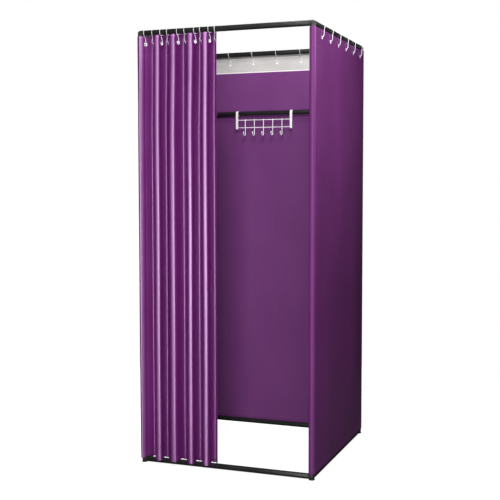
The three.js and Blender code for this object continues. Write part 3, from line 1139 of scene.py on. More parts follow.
@dataclass
class CrossBar:
    """The bar across the back, and the saddles that hold it on the posts."""

    plan: Plan
    steel: Finish
    plastic: Finish
    radius: float = 0.011
    wall: float = 0.0011
    lip: float = 0.0003
    post_radius: float = 0.0125
    fit: float = 0.0003
    clip_wall: float = 0.0032
    clip_height: float = 0.03
    mouth: float = 0.0025
    cup_wall: float = 0.0019
    cup_reach: float = 0.034
    cup_depth: float = 0.014
    saddle_round: float = 0.0007

    def bar(self) -> None:
        """Draw the bar."""
        piece = self.plan.open_tube("mid_bar", Axis.ACROSS, self.radius)
        hollow(piece, self.wall, self.lip)
        place_piece(piece, "cross_bar", "root", ["mid_bar"], "steel_tube", self.steel)

    def saddle(self, side: str, x: float, inwards: float) -> None:
        """Mould a saddle: a clip round the post and a cup for the bar.

        Args:
            side: Left or right.
            x: The post's axis.
            inwards: 1 or -1, the way to the other post.
        """
        centre = Vector((x, self.plan.rear, self.plan.bar))
        up = Vector((0, 0, self.clip_height / 2))
        aim = Vector((inwards, 0, 0))
        grip = self.post_radius + self.fit
        piece = rod(centre - up, centre + up, grip + self.clip_wall)
        weld(piece, rod(centre, centre + aim * self.cup_reach, self.radius + self.fit + self.cup_wall))
        post = rod(centre - up * 2, centre + up * 2, grip)
        stop = centre + aim * (self.cup_reach - self.cup_depth)
        bore = rod(stop, centre + aim * self.cup_reach * 1.5, self.radius + self.fit)
        weld(piece, post, bore, cut=True)
        turn = 3 * math.pi / 4 if inwards > 0 else math.pi / 4
        reach = self.cup_reach + self.mouth
        mouth = added(
            bpy.ops.mesh.primitive_cube_add,
            size=self.cup_reach * 2,
            location=centre + Vector((math.cos(turn) * reach, math.sin(turn) * reach, 0)),
            rotation=(0, 0, turn),
        )
        weld(piece, settle(mouth, "mouth"), cut=True)
        soften(piece, self.saddle_round)
        smooth(piece, Smoothing.MOULDING)
        place_piece(piece, f"saddle_{side}", "root", [f"bar_saddle_{side}"], "moulded_black", self.plastic)

    def build(self) -> None:
        """Build the bar and both saddles."""
        self.bar()
        self.saddle("left", self.plan.left, 1)
        self.saddle("right", self.plan.right, -1)


@dataclass
class Bend:
    """A smooth line through some points, evened by the distance between them."""

    knots: Sequence[Vector]

    def line(self, steps: int) -> list[Vector]:
        """Follow the bend.

        Args:
            steps: How many steps from each knot to the next.

        Returns:
            Points along it.
        """
        knots = [self.knots[0] * 2 - self.knots[1], *self.knots, self.knots[-1] * 2 - self.knots[-2]]
        points = [self.knots[0].copy()]
        for a, b, c, d in zip(knots, knots[1:], knots[2:], knots[3:]):
            before, span, after = (math.sqrt((q - p).length) for p, q in ((a, b), (b, c), (c, d)))
            leave = ((b - a) / before - (c - a) / (before + span) + (c - b) / span) * span
            arrive = ((c - b) / span - (d - b) / (span + after) + (d - c) / after) * span
            for i in range(1, steps + 1):
                t = i / steps
                points.append(
                    b * (2 * t**3 - 3 * t**2 + 1)
                    + leave * (t**3 - 2 * t**2 + t)
                    + c * (3 * t**2 - 2 * t**3)
                    + arrive * (t**3 - t**2)
                )
        return points


@dataclass
class HookRing:
    """A pear-shaped wire ring that goes round a rail and through an eyelet, with the eyelet's rim."""

    wire: Finish
    brass: Finish
    rail_radius: float = 0.0125
    diameter: float = 0.0024
    seat: float = 0.0006
    side_ease: float = 0.0026
    reach: float = 0.048
    neck: float = 0.005
    bulb: float = 0.0065
    clasp: float = 0.0014
    waist_share: float = 0.52
    hip_share: float = 0.27
    hip_width: float = 0.75
    hip_shift: float = 0.35
    waist_twist: float = 0.5
    bulb_twist: float = 0.9
    arc_steps: int = 6
    bulb_steps: int = 4
    bend_steps: int = 6
    eyelet_bore: float = 0.009
    rim_width: float = 0.0042
    rim_height: float = 0.0023
    rim_overlap: float = 0.0002
    rim_sides: int = 32
    rim_section: int = 10

    def eyelet_height(self, top_rail: float) -> float:
        """The height of an eyelet's middle under a rail's axis."""
        return top_rail - self.reach - (self.eyelet_bore - self.diameter) / 2 + self.seat

    def knots(self, rail: Vector, facing: Facing, offset: float, lean: float, twist: float) -> list[Vector]:
        """The ring's bend, from its clasp down through the eyelet and up over the rail.

        Args:
            rail: The rail's axis above the eyelet.
            facing: The way outwards.
            offset: How far outwards of the rail's axis the cloth hangs.
            lean: How far the ring is shifted along the rail at its top.
            twist: How far its lower end is turned about the vertical.

        Returns:
            The bend's knots.
        """
        outward, along = facing.value
        crown = self.rail_radius + self.seat + self.diameter / 2
        side = crown + self.side_ease
        waist = self.waist_share * self.reach
        hip = self.hip_share * self.reach
        bulb_top = self.bulb - self.reach
        points: list[Vector] = []

        def place(out: float, up: float, shift: float, turn: float) -> None:
            """Add a knot out from the rail and up from its axis."""
            angle = twist * turn
            away = out * math.cos(angle) + offset * shift
            sideways = abs(math.sin(angle)) * out * math.copysign(1, twist) + lean * (1 + up / self.reach)
            points.append(rail + outward * away + along * sideways + Vector((0, 0, up)))

        place(-self.neck, -waist - self.clasp, 1, self.waist_twist)
        for i in range(self.bulb_steps + 1):
            angle = i / self.bulb_steps * math.pi
            share = self.bulb_twist + (1 - self.bulb_twist) * math.sin(angle)
            place(-self.bulb * math.cos(angle), bulb_top - self.bulb * math.sin(angle), 1, share)
        place(self.neck, -waist, 1, self.waist_twist)
        place(self.hip_width * side, -hip, self.hip_shift, 0)
        for i in range(self.arc_steps + 1):
            angle = i / self.arc_steps * math.pi
            place(side * math.cos(angle), crown * math.sin(angle), 0, 0)
        place(-self.hip_width * side, -hip, self.hip_shift, 0)
        place(-self.neck, -waist + self.clasp, 1, self.waist_twist)
        return points

    def hang(self, node: str, body: str, knots: Sequence[Vector]) -> None:
        """Bend one ring.

        Args:
            node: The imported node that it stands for.
            body: The body that it moves with.
            knots: Its bend's knots.
        """
        name = node + "_ring"
        piece = bent_wire(name, Bend(knots).line(self.bend_steps), self.diameter / 2)
        smooth(piece, Smoothing.WIRE)
        place_piece(piece, name, body, [node], "bright_wire", self.wire)

    def rim(self, name: str, body: str, place: Vector, normal: Vector) -> None:
        """Roll an eyelet's rim over the cloth.

        Args:
            name: Its name.
            body: The body that it moves with.
            place: Its middle.
            normal: The cloth's normal there.
        """
        piece = added(
            bpy.ops.mesh.primitive_torus_add,
            major_segments=self.rim_sides,
            minor_segments=self.rim_section,
            major_radius=self.eyelet_bore / 2 - self.rim_overlap + self.rim_width / 2,
            minor_radius=self.rim_width / 2,
        )
        flatten = self.rim_height / self.rim_width
        with editing(piece):
            bpy.ops.mesh.select_all(action="SELECT")
            bpy.ops.transform.resize(value=(1, 1, flatten), center_override=(0, 0, 0))
        piece.rotation_euler = normal.to_track_quat("Z", "Y").to_euler()
        piece.location = place
        settle(piece, name)
        smooth(piece, Smoothing.WIRE)
        place_piece(piece, name, body, [], "eyelet_rim", self.brass)


@dataclass
class DrawCurtain:
    """The draw curtain: eleven folds of cloth, its hook rings and eyelets."""

    plan: Plan
    rings: HookRing
    satin: Finish
    back: Finish
    tape: Finish
    hook_shares: tuple[float, ...] = (0, 0.118, 0.233, 0.33, 0.472, 0.576, 0.712, 0.797, 0.913, 1)
    hook_inset: float = 0.025
    hook_run: float = 0.347
    lean: float = -0.0015
    top: float = 1.972
    hem: float = 0.0295
    heading: float = 0.083
    thickness: float = 0.0011
    fold_cloth: float = 0.086
    edge_width: float = 0.046
    edge_cloth: float = 0.0405
    edge_turn: float = 0.002
    edge_stops: tuple[float, ...] = (0, 0.13, 0.27, 0.68, 0.85, 1)
    edge_headings: tuple[float, ...] = (-60, -20, 31, 44, 72)  # in degrees, before the one at its hook
    leading_width: float = 0.034
    leading_cloth: float = 0.084
    leading_share: float = 0.33
    seam: float = 0.008
    heading_lift: float = 0.0095
    hem_dip: float = 0.007
    dip_run: float = 0.06
    hung_shifts: tuple[float, ...] = (-3, -3, -5, -3, -8, -3, -2, -8, -3, -2, -2, 0)  # in millimetres
    shift_top: float = 1.93
    shift_end: float = 1.5
    sway: float = 0.0008
    swing: float = 0.006
    fold_depth: float = 0.034
    crispness: float = 3.2
    valley_crispness: float = 4.6
    ridge_flat: float = 0.7
    turn_flat: float = 0.05
    ridge_tilt: float = 0.5
    slant: float = 0.38  # how much steeper the right flank of each fold is, in radians
    steepest: float = 2.2
    angle_steps: int = 220
    turn_steps: int = 180
    eyelet_turn: float = 0.6
    eyelet_spread: float = 0.013
    eyelet_margin: float = 0.01
    eyelet_drop: float = 0.012
    eyelet_reach: float = 0.004
    close_rise: float = 0.002
    rise: float = 0.0115
    step: float = 0.0023
    least_steps: int = 12
    bend_margin: float = 0.0004

    def hooks(self) -> np.ndarray:
        """The hooks' places along the rail."""
        return self.plan.left + self.hook_inset + np.array(self.hook_shares) * self.hook_run

    def cloth(self) -> np.ndarray:
        """The cloth in each fold, from the one round the post to the leading one."""
        inner = [self.fold_cloth] * (len(self.hook_shares) - 1)
        return np.array([self.edge_cloth, *inner, self.leading_cloth])

    def under(self) -> np.ndarray:
        """The length of cloth up to each hook, and to the leading edge."""
        return np.cumsum(self.cloth())

    def crossings(self, heights: np.ndarray) -> np.ndarray:
        """Where the cloth passes under the rail's line at some heights.

        Args:
            heights: The heights.

        Returns:
            A row of places for each height.
        """
        hooks = self.hooks()
        base = np.array([hooks[0] - self.edge_width, *hooks, hooks[-1] + self.leading_width])
        fall = eased((self.shift_top - heights) / (self.shift_top - self.shift_end))[:, None]
        shifts = np.array(self.hung_shifts) / 1000
        order = np.arange(len(base))
        down = (self.top - heights)[:, None]
        # Two slow waves down the cloth, whose lengths and starts differ from fold to fold
        wander = np.sin(down * (2.1 + 0.7 * np.sin(order * 2.4)) + order * 1.9)
        wander = wander + 0.5 * np.sin(down * (5.2 + np.cos(order * 1.7)) + order * 3.1)
        return base + fall * (shifts + self.sway * wander)

    def turning(self, fold: int, share: np.ndarray) -> np.ndarray:
        """How far a fold has turned, its ridge a little flat and its flanks straight.

        Args:
            fold: The fold, from the one round the post. Every other one is a ridge.
            share: The share of its cloth that has passed.

        Returns:
            From 1 through 0 at its middle to -1.
        """
        crispness = self.valley_crispness if fold % 2 else self.crispness
        flat = self.ridge_flat if fold and fold % 2 == 0 else self.turn_flat
        across = np.cos(math.pi * share)
        across = across**3 * (1 + flat**2) / (across**2 + flat**2)
        return np.tanh(crispness * across) / math.tanh(crispness)

    def steepness(self, fold: int, share: np.ndarray) -> np.ndarray:
        """How steeply a fold sets off, from its width over its cloth.

        Args:
            fold: The fold.
            share: The width over the cloth.

        Returns:
            The heading in radians where it crosses the rail's line.
        """
        angles = np.linspace(0, self.steepest, self.angle_steps + 1)
        turns = self.turning(fold, np.linspace(0, 1, self.turn_steps + 1))
        widths = np.cos(angles[:, None] * turns).mean(1)
        return np.interp(share, widths[::-1], angles[::-1])

    def edge_heading(self, share: np.ndarray, last: np.ndarray) -> np.ndarray:
        """The heading of the panel round the post, with a tight turn at its edge.

        Args:
            share: The share of its cloth that has passed.
            last: The heading at its hook, at each height.

        Returns:
            A row of headings for each height, in radians and less than 0 towards the back.
        """
        known = -np.radians(self.edge_headings)
        return np.stack([np.interp(share, self.edge_stops, [*known, -end]) for end in last])

    def fold_lines(self, heights: np.ndarray, samples: int = 64) -> tuple[np.ndarray, np.ndarray]:
        """The cloth's plan at some heights, each fold with flat flanks and a rounded turn.

        Args:
            heights: The heights.
            samples: How many steps each fold has.

        Returns:
            The cloth's length at each step, and its place at each height and step.
        """
        crossings = self.crossings(heights)
        cloth = self.cloth()
        widths = np.diff(crossings, axis=1)
        steep = np.stack([self.steepness(i, widths[:, i] / length) for i, length in enumerate(cloth)], 1)
        joints = np.concatenate([steep[:, :1], (steep[:, 1:] + steep[:, :-1]) / 2, steep[:, -1:]], 1)
        slants = self.slant * np.where(np.arange(joints.shape[1]) % 2 == 0, -1.0, 1.0)
        slants[1] = 0
        joints = joints + slants
        share = np.linspace(0, 1, samples + 1)
        on_rail = np.zeros(len(heights))
        lengths = [0.0]
        points = []
        for i, length in enumerate(cloth):
            turn = self.turning(i, share)
            heading = (joints[:, i : i + 1] * (1 - share) + joints[:, i + 1 : i + 2] * share) * turn
            if i and i % 2 == 0:
                heading = heading - self.ridge_tilt * (1 - turn**2)
            if i == 0:
                heading = self.edge_heading(share, joints[:, 1])
            forwards = -1 if i % 2 == 0 else 1
            steps = np.stack([np.cos(heading), forwards * np.sin(heading)], 2)
            path = np.cumsum((steps[:, 1:] + steps[:, :-1]) / 2 * (length / samples), 1)
            goal = np.stack([widths[:, i], on_rail], 1)[:, None]
            start = np.stack([crossings[:, i], on_rail], 1)[:, None]
            if i == 0:
                points = [start + goal - path[:, -1:]]
                points.append(points[0] + path)
            else:
                points.append(start + path + (goal - path[:, -1:]) * share[None, 1:, None])
            lengths.extend(sum(cloth[:i]) + length * share[1:])
        return np.array(lengths), np.concatenate(points, 1)

    def grid(self, stops: np.ndarray, heights: np.ndarray) -> np.ndarray:
        """The cloth's points at some lengths along it and heights.

        Args:
            stops: The lengths.
            heights: The heights.

        Returns:
            Rows of points.
        """
        lengths, lines = self.fold_lines(heights)
        swing = self.swing * ((self.top - heights) / (self.top - self.hem)) ** 2
        lift = self.heading_lift * np.clip(1 - (self.top - heights) / self.heading, 0, 1)
        dip = self.hem_dip * np.clip(1 - (heights - self.hem) / self.dip_run, 0, 1) ** 2
        clear = self.rings.rail_radius + self.thickness
        grid = np.empty((len(heights), len(stops), 3))
        for j, line in enumerate(lines):
            back = np.interp(stops, lengths, line[:, 1])
            grid[j, :, 0] = np.interp(stops, lengths, line[:, 0])
            grid[j, :, 1] = self.plan.front + back - swing[j]
            past = np.clip((np.abs(back - swing[j]) - clear) / self.rings.rail_radius, 0, 1)
            rise = lift[j] * np.clip(back / self.fold_depth, 0, 1)
            grid[j, :, 2] = heights[j] + rise - dip[j] * past
        eyelet = self.rings.eyelet_height(self.plan.top_rail)
        for i in range(2, len(self.hook_shares), 2):
            level_away = stops - self.under()[i]
            near = ((heights - eyelet)[:, None] ** 2 + level_away[None] ** 2) / self.eyelet_spread**2
            turn = self.eyelet_turn * np.exp(-near / 2)
            away_x = grid[:, :, 0] - self.hooks()[i]
            away_y = grid[:, :, 1] - self.plan.front
            grid[:, :, 0] += away_x * (np.cos(turn) - 1) + away_y * np.sin(turn)
            grid[:, :, 1] += away_y * (np.cos(turn) - 1) - away_x * np.sin(turn)
        return grid

    def folds(self) -> None:
        """Hang the folds: the first rides on the root body, the last on the last hook's body, and the rest
        are fixed in place.
        """
        eyelet = self.rings.eyelet_height(self.plan.top_rail)
        close = [(eyelet - self.eyelet_margin, eyelet + self.eyelet_margin)]
        heights = spaced(self.hem, self.top, close, self.close_rise, self.rise)
        under = self.under()
        holes = [(place, eyelet - self.hem) for place in under[:-1]]
        bodies = ["root"] + [f"draw_hook_{i:02d}" for i in range(2, len(self.hook_shares) + 1)]
        leading_edge = under[-2] + self.leading_cloth * self.leading_share
        seams = [self.edge_turn, *(under[:-1] + self.seam), leading_edge]
        total = 0.0
        for i, (start, end) in enumerate(zip(seams, seams[1:])):
            stops = np.linspace(start, end, max(self.least_steps, round((end - start) / self.step)) + 1)
            points = self.grid(stops, heights)
            piece = Weaving(points, stops, heights - self.hem, holes).piece(
                f"draw_fold_{i + 1:02d}",
                self.thickness,
                lambda v: v > self.top - self.hem - self.heading,
            )
            wear(piece, self.satin, self.back, self.satin, self.tape)
            if i == 0 or i == len(seams) - 2:
                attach(piece, bodies[min(i, len(bodies) - 1)])
            else:
                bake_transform(piece)
            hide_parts("front_curtain")
            width = float(np.hypot(*np.diff(points[:, :, :2], axis=1).transpose(2, 0, 1)).sum(1).mean())
            MAKING.info("%s is %.3f m wide, with %d faces", piece.name, width, len(piece.data.polygons))
            total += width
        MAKING.info("the draw curtain's cloth is %.3f m wide", total)

    def hook_rings(self) -> None:
        """Hang the rings and roll the eyelets."""
        height = self.rings.eyelet_height(self.plan.top_rail)
        for i, x in enumerate(self.hooks()):
            body = "root" if i == 0 else f"draw_hook_{i + 1:02d}"
            nearby = self.under()[i] + np.array([-self.eyelet_reach, self.eyelet_reach])
            before, after = self.grid(nearby, np.array([height]))[0]
            tangent = Vector((after[0] - before[0], after[1] - before[1], 0)).normalized()
            twist = math.atan2(tangent.y, tangent.x)
            rail = Vector((x, self.plan.front, self.plan.top_rail))
            knots = self.rings.knots(rail, Facing.FRONT, 0, self.lean, twist)
            self.rings.hang(f"front_hook_{i + 1:02d}", body, knots)
            place = Vector((x, self.plan.front, height))
            self.rings.rim(f"front_eyelet_{i + 1:02d}", body, place, Vector((-tangent.y, tangent.x, 0)))

    def build(self) -> None:
        """Build the draw curtain."""
        self.folds()
        self.hook_rings()


@dataclass(frozen=True)
class Ripple:
    """One of the waves that cross a hanging sheet."""

    height: float
    along: float  # radians to the metre along the sheet
    down: float  # radians to the metre down it
    start: float

    def rise(self, along: np.ndarray, down: np.ndarray) -> np.ndarray:
        """How far the wave stands out at some places."""
        return self.height * np.sin(along * self.along + down * self.down + self.start)


@dataclass(frozen=True)
class Cut:
    """The part of the wall's plan and height that a sheet covers, and how it lies on the wall."""

    start: float
    end: float
    low: float
    high: float
    inset: float
    thickness: float


@dataclass
class WallCurtain:
    """The wall curtain: one sheet round three sides with a sleeve on each front post."""

    plan: Plan
    rings: HookRing
    satin: Finish
    back: Finish
    tape: Finish
    top: float = 1.972
    hem: float = 0.0275
    hem_rise: float = 0.0025
    rise_run: float = 0.06
    back_rise: float = 0.009
    back_dip: float = 0.007
    heading_run: float = 0.03
    thickness: float = 0.0012
    sleeve_radius: float = 0.0141
    arc_step: float = 0.06
    free_turn: float = 1.75
    rise_turn: float = 0.5
    sleeve_seam: float = 0.016
    seam_bend: float = 0.005
    seam_gap: float = 0.0003
    longest_bend_step: float = 0.03
    hooks_per_side: int = 6
    front_inset: float = 0.0915
    rear_inset: float = 0.0735
    side_lean: float = 0.034
    back_left_inset: float = 0.0995
    back_right_inset: float = 0.0555
    eyelet_margin: float = 0.01
    tape_height: float = 0.08
    tape_thickness: float = 0.0006
    tape_gap: float = 0.0002
    tape_inset: float = 0.012
    tape_drop: float = 0.001
    plan_steps: int = 20000
    close_step: float = 0.0024
    step: float = 0.016
    close_rise: float = 0.0022
    rise: float = 0.021
    top_fold: float = 0.004
    nudge: float = 0.0005
    ripples: tuple[Ripple, ...] = (
        Ripple(1, 9.5, 1.3, 0.6),
        Ripple(0.8, 16.7, -2.2, 2.0),
        Ripple(0.6, 4.1, 3.4, 4.0),
        Ripple(0.35, 31.0, 0.9, 0),
    )
    ripple: float = 0.0009
    ripple_run: float = 0.25
    least_ripple: float = 0.15
    calm_run: float = 0.07
    hook_run: float = 0.06
    scallop: float = 0.0012
    scallop_run: float = 0.09
    sag: float = 0.0016
    sag_run: float = 0.05
    billow: float = 0.017
    back_billow: float = 0.014
    billow_top: float = 1.9
    billow_full: float = 1.3
    billow_low: float = 0.5
    hem_billow: float = 0.12

    def eyelets(self) -> list[tuple[str, Vector, Facing, float]]:
        """Each hook's node, its place on the rail, its way outwards and its lean."""
        plan = self.plan
        up = plan.top_rail
        side_run = plan.rear - plan.front - self.front_inset - self.rear_inset
        back_run = plan.right - plan.left - self.back_left_inset - self.back_right_inset
        made = []
        for i in range(self.hooks_per_side):
            share = i / (self.hooks_per_side - 1)
            y = plan.front + self.front_inset + share * side_run
            x = plan.left + self.back_left_inset + share * back_run
            for side, rail, facing, lean in (
                ("left", Vector((plan.left, y, up)), Facing.LEFT, self.side_lean),
                ("right", Vector((plan.right, y, up)), Facing.RIGHT, self.side_lean),
                ("back", Vector((x, plan.rear, up)), Facing.BACK, 0.0),
            ):
                made.append((f"wall_hook_{side}_{i + 1}", rail, facing, lean))
        return made

    def arc(self, x: float, y: float, start: float, end: float) -> list[Span]:
        """Points round a post.

        Args:
            x: The post's axis from left to right.
            y: Its axis from front to back.
            start: The angle of the first point.
            end: The angle of the last one.

        Returns:
            The points.
        """
        steps = math.ceil(abs(end - start) / self.arc_step)
        angles = np.linspace(start, end, steps + 1)
        return [(x + self.sleeve_radius * math.cos(a), y + self.sleeve_radius * math.sin(a)) for a in angles]

    def path(self) -> tuple[np.ndarray, np.ndarray]:
        """The wall's plan, from the left sleeve's seam round to the right one's.

        Returns:
            The length along it at each point, and the points.
        """
        plan = self.plan
        seam_x = plan.right + self.sleeve_radius - self.thickness - self.seam_gap
        rear_y = plan.front + self.sleeve_radius
        middle_x = (plan.left + plan.right) / 2
        half = [
            *self.arc(plan.right, plan.rear, math.pi / 2, 0),
            *self.arc(plan.right, plan.front, 0, -1.5 * math.pi),
            (seam_x - self.seam_bend / 2, rear_y + self.seam_bend / 4),
            (seam_x, rear_y + self.seam_bend),
            (seam_x, rear_y + self.seam_bend + self.sleeve_seam),
        ]
        mirrored = [(2 * middle_x - x, y) for x, y in reversed(half)]
        points = np.array([*mirrored, *half])
        steps = np.hypot(*np.diff(points, axis=0).T)
        return np.concatenate([[0], np.cumsum(steps)]), points

    @staticmethod
    def on_path(stops: np.ndarray, lengths: np.ndarray, line: np.ndarray) -> np.ndarray:
        """The plan's points at some lengths along it.

        Args:
            stops: The lengths.
            lengths: The length along the plan at each of its points.
            line: Its points.

        Returns:
            A row of x and y for each stop.
        """
        return np.stack([np.interp(stops, lengths, line[:, 0]), np.interp(stops, lengths, line[:, 1])], 1)

    def hole_stops(self, lengths: np.ndarray, line: np.ndarray) -> list[float]:
        """Where each eyelet is along the plan.

        Args:
            lengths: The length along the plan at each of its points.
            line: Its points.

        Returns:
            The lengths.
        """
        dense = self.on_path(np.linspace(0, lengths[-1], self.plan_steps + 1), lengths, line)
        stops = []
        for _, rail, facing, _ in self.eyelets():
            place = np.array((rail + facing.value[0] * self.sleeve_radius)[:2])
            nearest = np.argmin(np.hypot(*(dense - place).T))
            stops.append(nearest * lengths[-1] / self.plan_steps)
        return stops

    def turns(self, lengths: np.ndarray) -> list[Span]:
        """Where the plan bends round a post.

        Args:
            lengths: The length along it at each point.

        Returns:
            The start and end of each bend.
        """
        bends = []
        start = None
        for i, step in enumerate(np.diff(lengths)):
            is_short = step < self.longest_bend_step
            if is_short and start is None:
                start = lengths[i]
            if not is_short and start is not None:
                bends.append((start, lengths[i]))
                start = None
        if start is not None:
            bends.append((start, lengths[-1]))
        return bends

    def outwards(self, stops: np.ndarray, lengths: np.ndarray, line: np.ndarray) -> np.ndarray:
        """The way outwards at some lengths along the plan.

        Args:
            stops: The lengths.
            lengths: The length along the plan at each of its points.
            line: Its points.

        Returns:
            A row of x and y for each stop.
        """
        ahead = self.on_path(np.clip(stops + self.nudge, 0, lengths[-1]), lengths, line)
        behind = self.on_path(np.clip(stops - self.nudge, 0, lengths[-1]), lengths, line)
        tangent = ahead - behind
        tangent /= np.hypot(*tangent.T)[:, None]
        return np.stack([-tangent[:, 1], tangent[:, 0]], 1)

    def sheet(self, name: str, cut: Cut) -> Piece:
        """Hang a sheet along the wall's plan.

        Args:
            name: Its name.
            cut: The part of the wall that it covers.

        Returns:
            The sheet.
        """
        lengths, line = self.path()
        turns = self.turns(lengths)
        holes = self.hole_stops(lengths, line)
        eyelet = self.rings.eyelet_height(self.plan.top_rail)
        margin = self.eyelet_margin
        near_holes = [(a - margin, a + margin) for a in holes]
        stops = spaced(cut.start, cut.end, [*near_holes, *turns], self.close_step, self.step)
        close = [(eyelet - margin, eyelet + margin), (cut.high - self.top_fold, cut.high)]
        heights = spaced(cut.low, cut.high, close, self.close_rise, self.rise)
        calm = np.ones(len(stops))
        for a, b in turns:
            calm *= eased(np.maximum(np.maximum(a - stops, stops - b), 0) / self.calm_run)
        between = np.ones(len(stops))
        for hole in holes:
            between = np.minimum(between, np.clip(np.abs(stops - hole) / self.hook_run, 0, 1))
        drop = (self.top - heights)[:, None]
        wave = sum(ripple.rise(stops[None], drop) for ripple in self.ripples)
        ramp = np.clip(drop / self.ripple_run, self.least_ripple, 1)
        push = self.ripple * wave * ramp + self.scallop * between**2 * np.exp(-drop / self.scallop_run)
        push = push * calm[None] + self.billowing(stops, heights, turns) - cut.inset
        grid = np.empty((len(heights), len(stops), 3))
        flat_plan = self.on_path(stops, lengths, line)
        grid[:, :, :2] = flat_plan[None] + self.outwards(stops, lengths, line)[None] * push[:, :, None]
        slack = self.sag * (between**2 * calm)[None] * np.exp(-drop / self.sag_run)
        grid[:, :, 2] = heights[:, None] - slack + self.lifting(stops, heights, turns)
        weaving = Weaving(grid, stops, heights - self.hem, [(a, eyelet - self.hem) for a in holes])
        return weaving.piece(name, cut.thickness)

    def lifting(self, stops: np.ndarray, heights: np.ndarray, turns: Sequence[Span]) -> np.ndarray:
        """How far the edges stand above their even height, over the rails and along the back.

        Args:
            stops: Lengths along the wall's plan.
            heights: The heights.
            turns: Where the plan bends round a post.

        Returns:
            A row of distances for each height.
        """
        near_hem = np.clip(1 - (heights - self.hem) / self.rise_run, 0, 1)[:, None] ** 2
        near_top = np.clip(1 - (self.top - heights) / self.heading_run, 0, 1)[:, None]
        along_back = np.clip((stops - turns[1][0]) / (turns[1][1] - turns[1][0]), 0, 1)
        along_back *= np.clip((turns[2][1] - stops) / (turns[2][1] - turns[2][0]), 0, 1)
        back = along_back * (self.back_rise * near_top - self.back_dip * near_hem)
        start = turns[-1][0] + self.sleeve_radius * self.free_turn
        end = turns[0][1] - self.sleeve_radius * self.free_turn
        over_rails = eased(np.maximum(stops - start, end - stops) / (self.sleeve_radius * self.rise_turn))
        return over_rails[None] * self.hem_rise * near_hem + back

    def billowing(self, stops: np.ndarray, heights: np.ndarray, turns: Sequence[Span]) -> np.ndarray:
        """How far the walls billow outwards, those at the sides most towards the rear.

        Args:
            stops: Lengths along the wall's plan.
            heights: The heights.
            turns: Where the plan bends round a post.

        Returns:
            A row of distances for each height.
        """
        left = np.clip((stops - turns[0][1]) / (turns[1][0] - turns[0][1]), 0, 1)
        right = np.clip((turns[3][0] - stops) / (turns[3][0] - turns[2][1]), 0, 1)
        across = np.clip((stops - turns[1][1]) / (turns[2][0] - turns[1][1]), 0, 1)
        fullest = 0.535  # the most that a share less its fifth power comes to
        bow = self.billow * (left - left**5 + right - right**5) / fullest
        bow += self.back_billow * (1 - (2 * across - 1) ** 4)
        down = eased((self.billow_top - heights) / (self.billow_top - self.billow_full))
        low = np.clip((self.billow_low - heights) / (self.billow_low - self.hem), 0, 1)
        fall = 1 - (1 - self.hem_billow) * low * low
        return bow[None] * (down * fall)[:, None]

    def build(self) -> None:
        """Build the wall curtain, its tape, rings and eyelets."""
        lengths, _ = self.path()
        total = float(lengths[-1])
        bends = self.turns(lengths)
        cut = Cut(
            bends[0][1] + self.tape_inset,
            bends[-1][0] - self.tape_inset,
            self.top - self.tape_height - self.tape_drop,
            self.top - self.tape_drop,
            self.thickness / 2 + self.tape_gap + self.tape_thickness / 2,
            self.tape_thickness,
        )
        tape = self.sheet("heading_tape", cut)
        place_piece(tape, tape.name, "root", [], "heading_tape", *[self.tape] * 4)
        wall = self.sheet("wall_cloth", Cut(0, total, self.hem, self.top, 0, self.thickness))
        sides = (self.back, self.satin)
        place_piece(wall, wall.name, "root", ["wall_curtain"], "wall_satin", *sides, *sides)
        for node, rail, facing, lean in self.eyelets():
            outward = facing.value[0]
            self.rings.hang(node, "root", self.rings.knots(rail, facing, self.sleeve_radius, lean, 0))
            place = rail + outward * self.sleeve_radius
            place.z = self.rings.eyelet_height(self.plan.top_rail)
            self.rings.rim(node.replace("hook", "eyelet"), "root", place, outward)
        MAKING.info("the wall's cloth is %.3f m long", total)


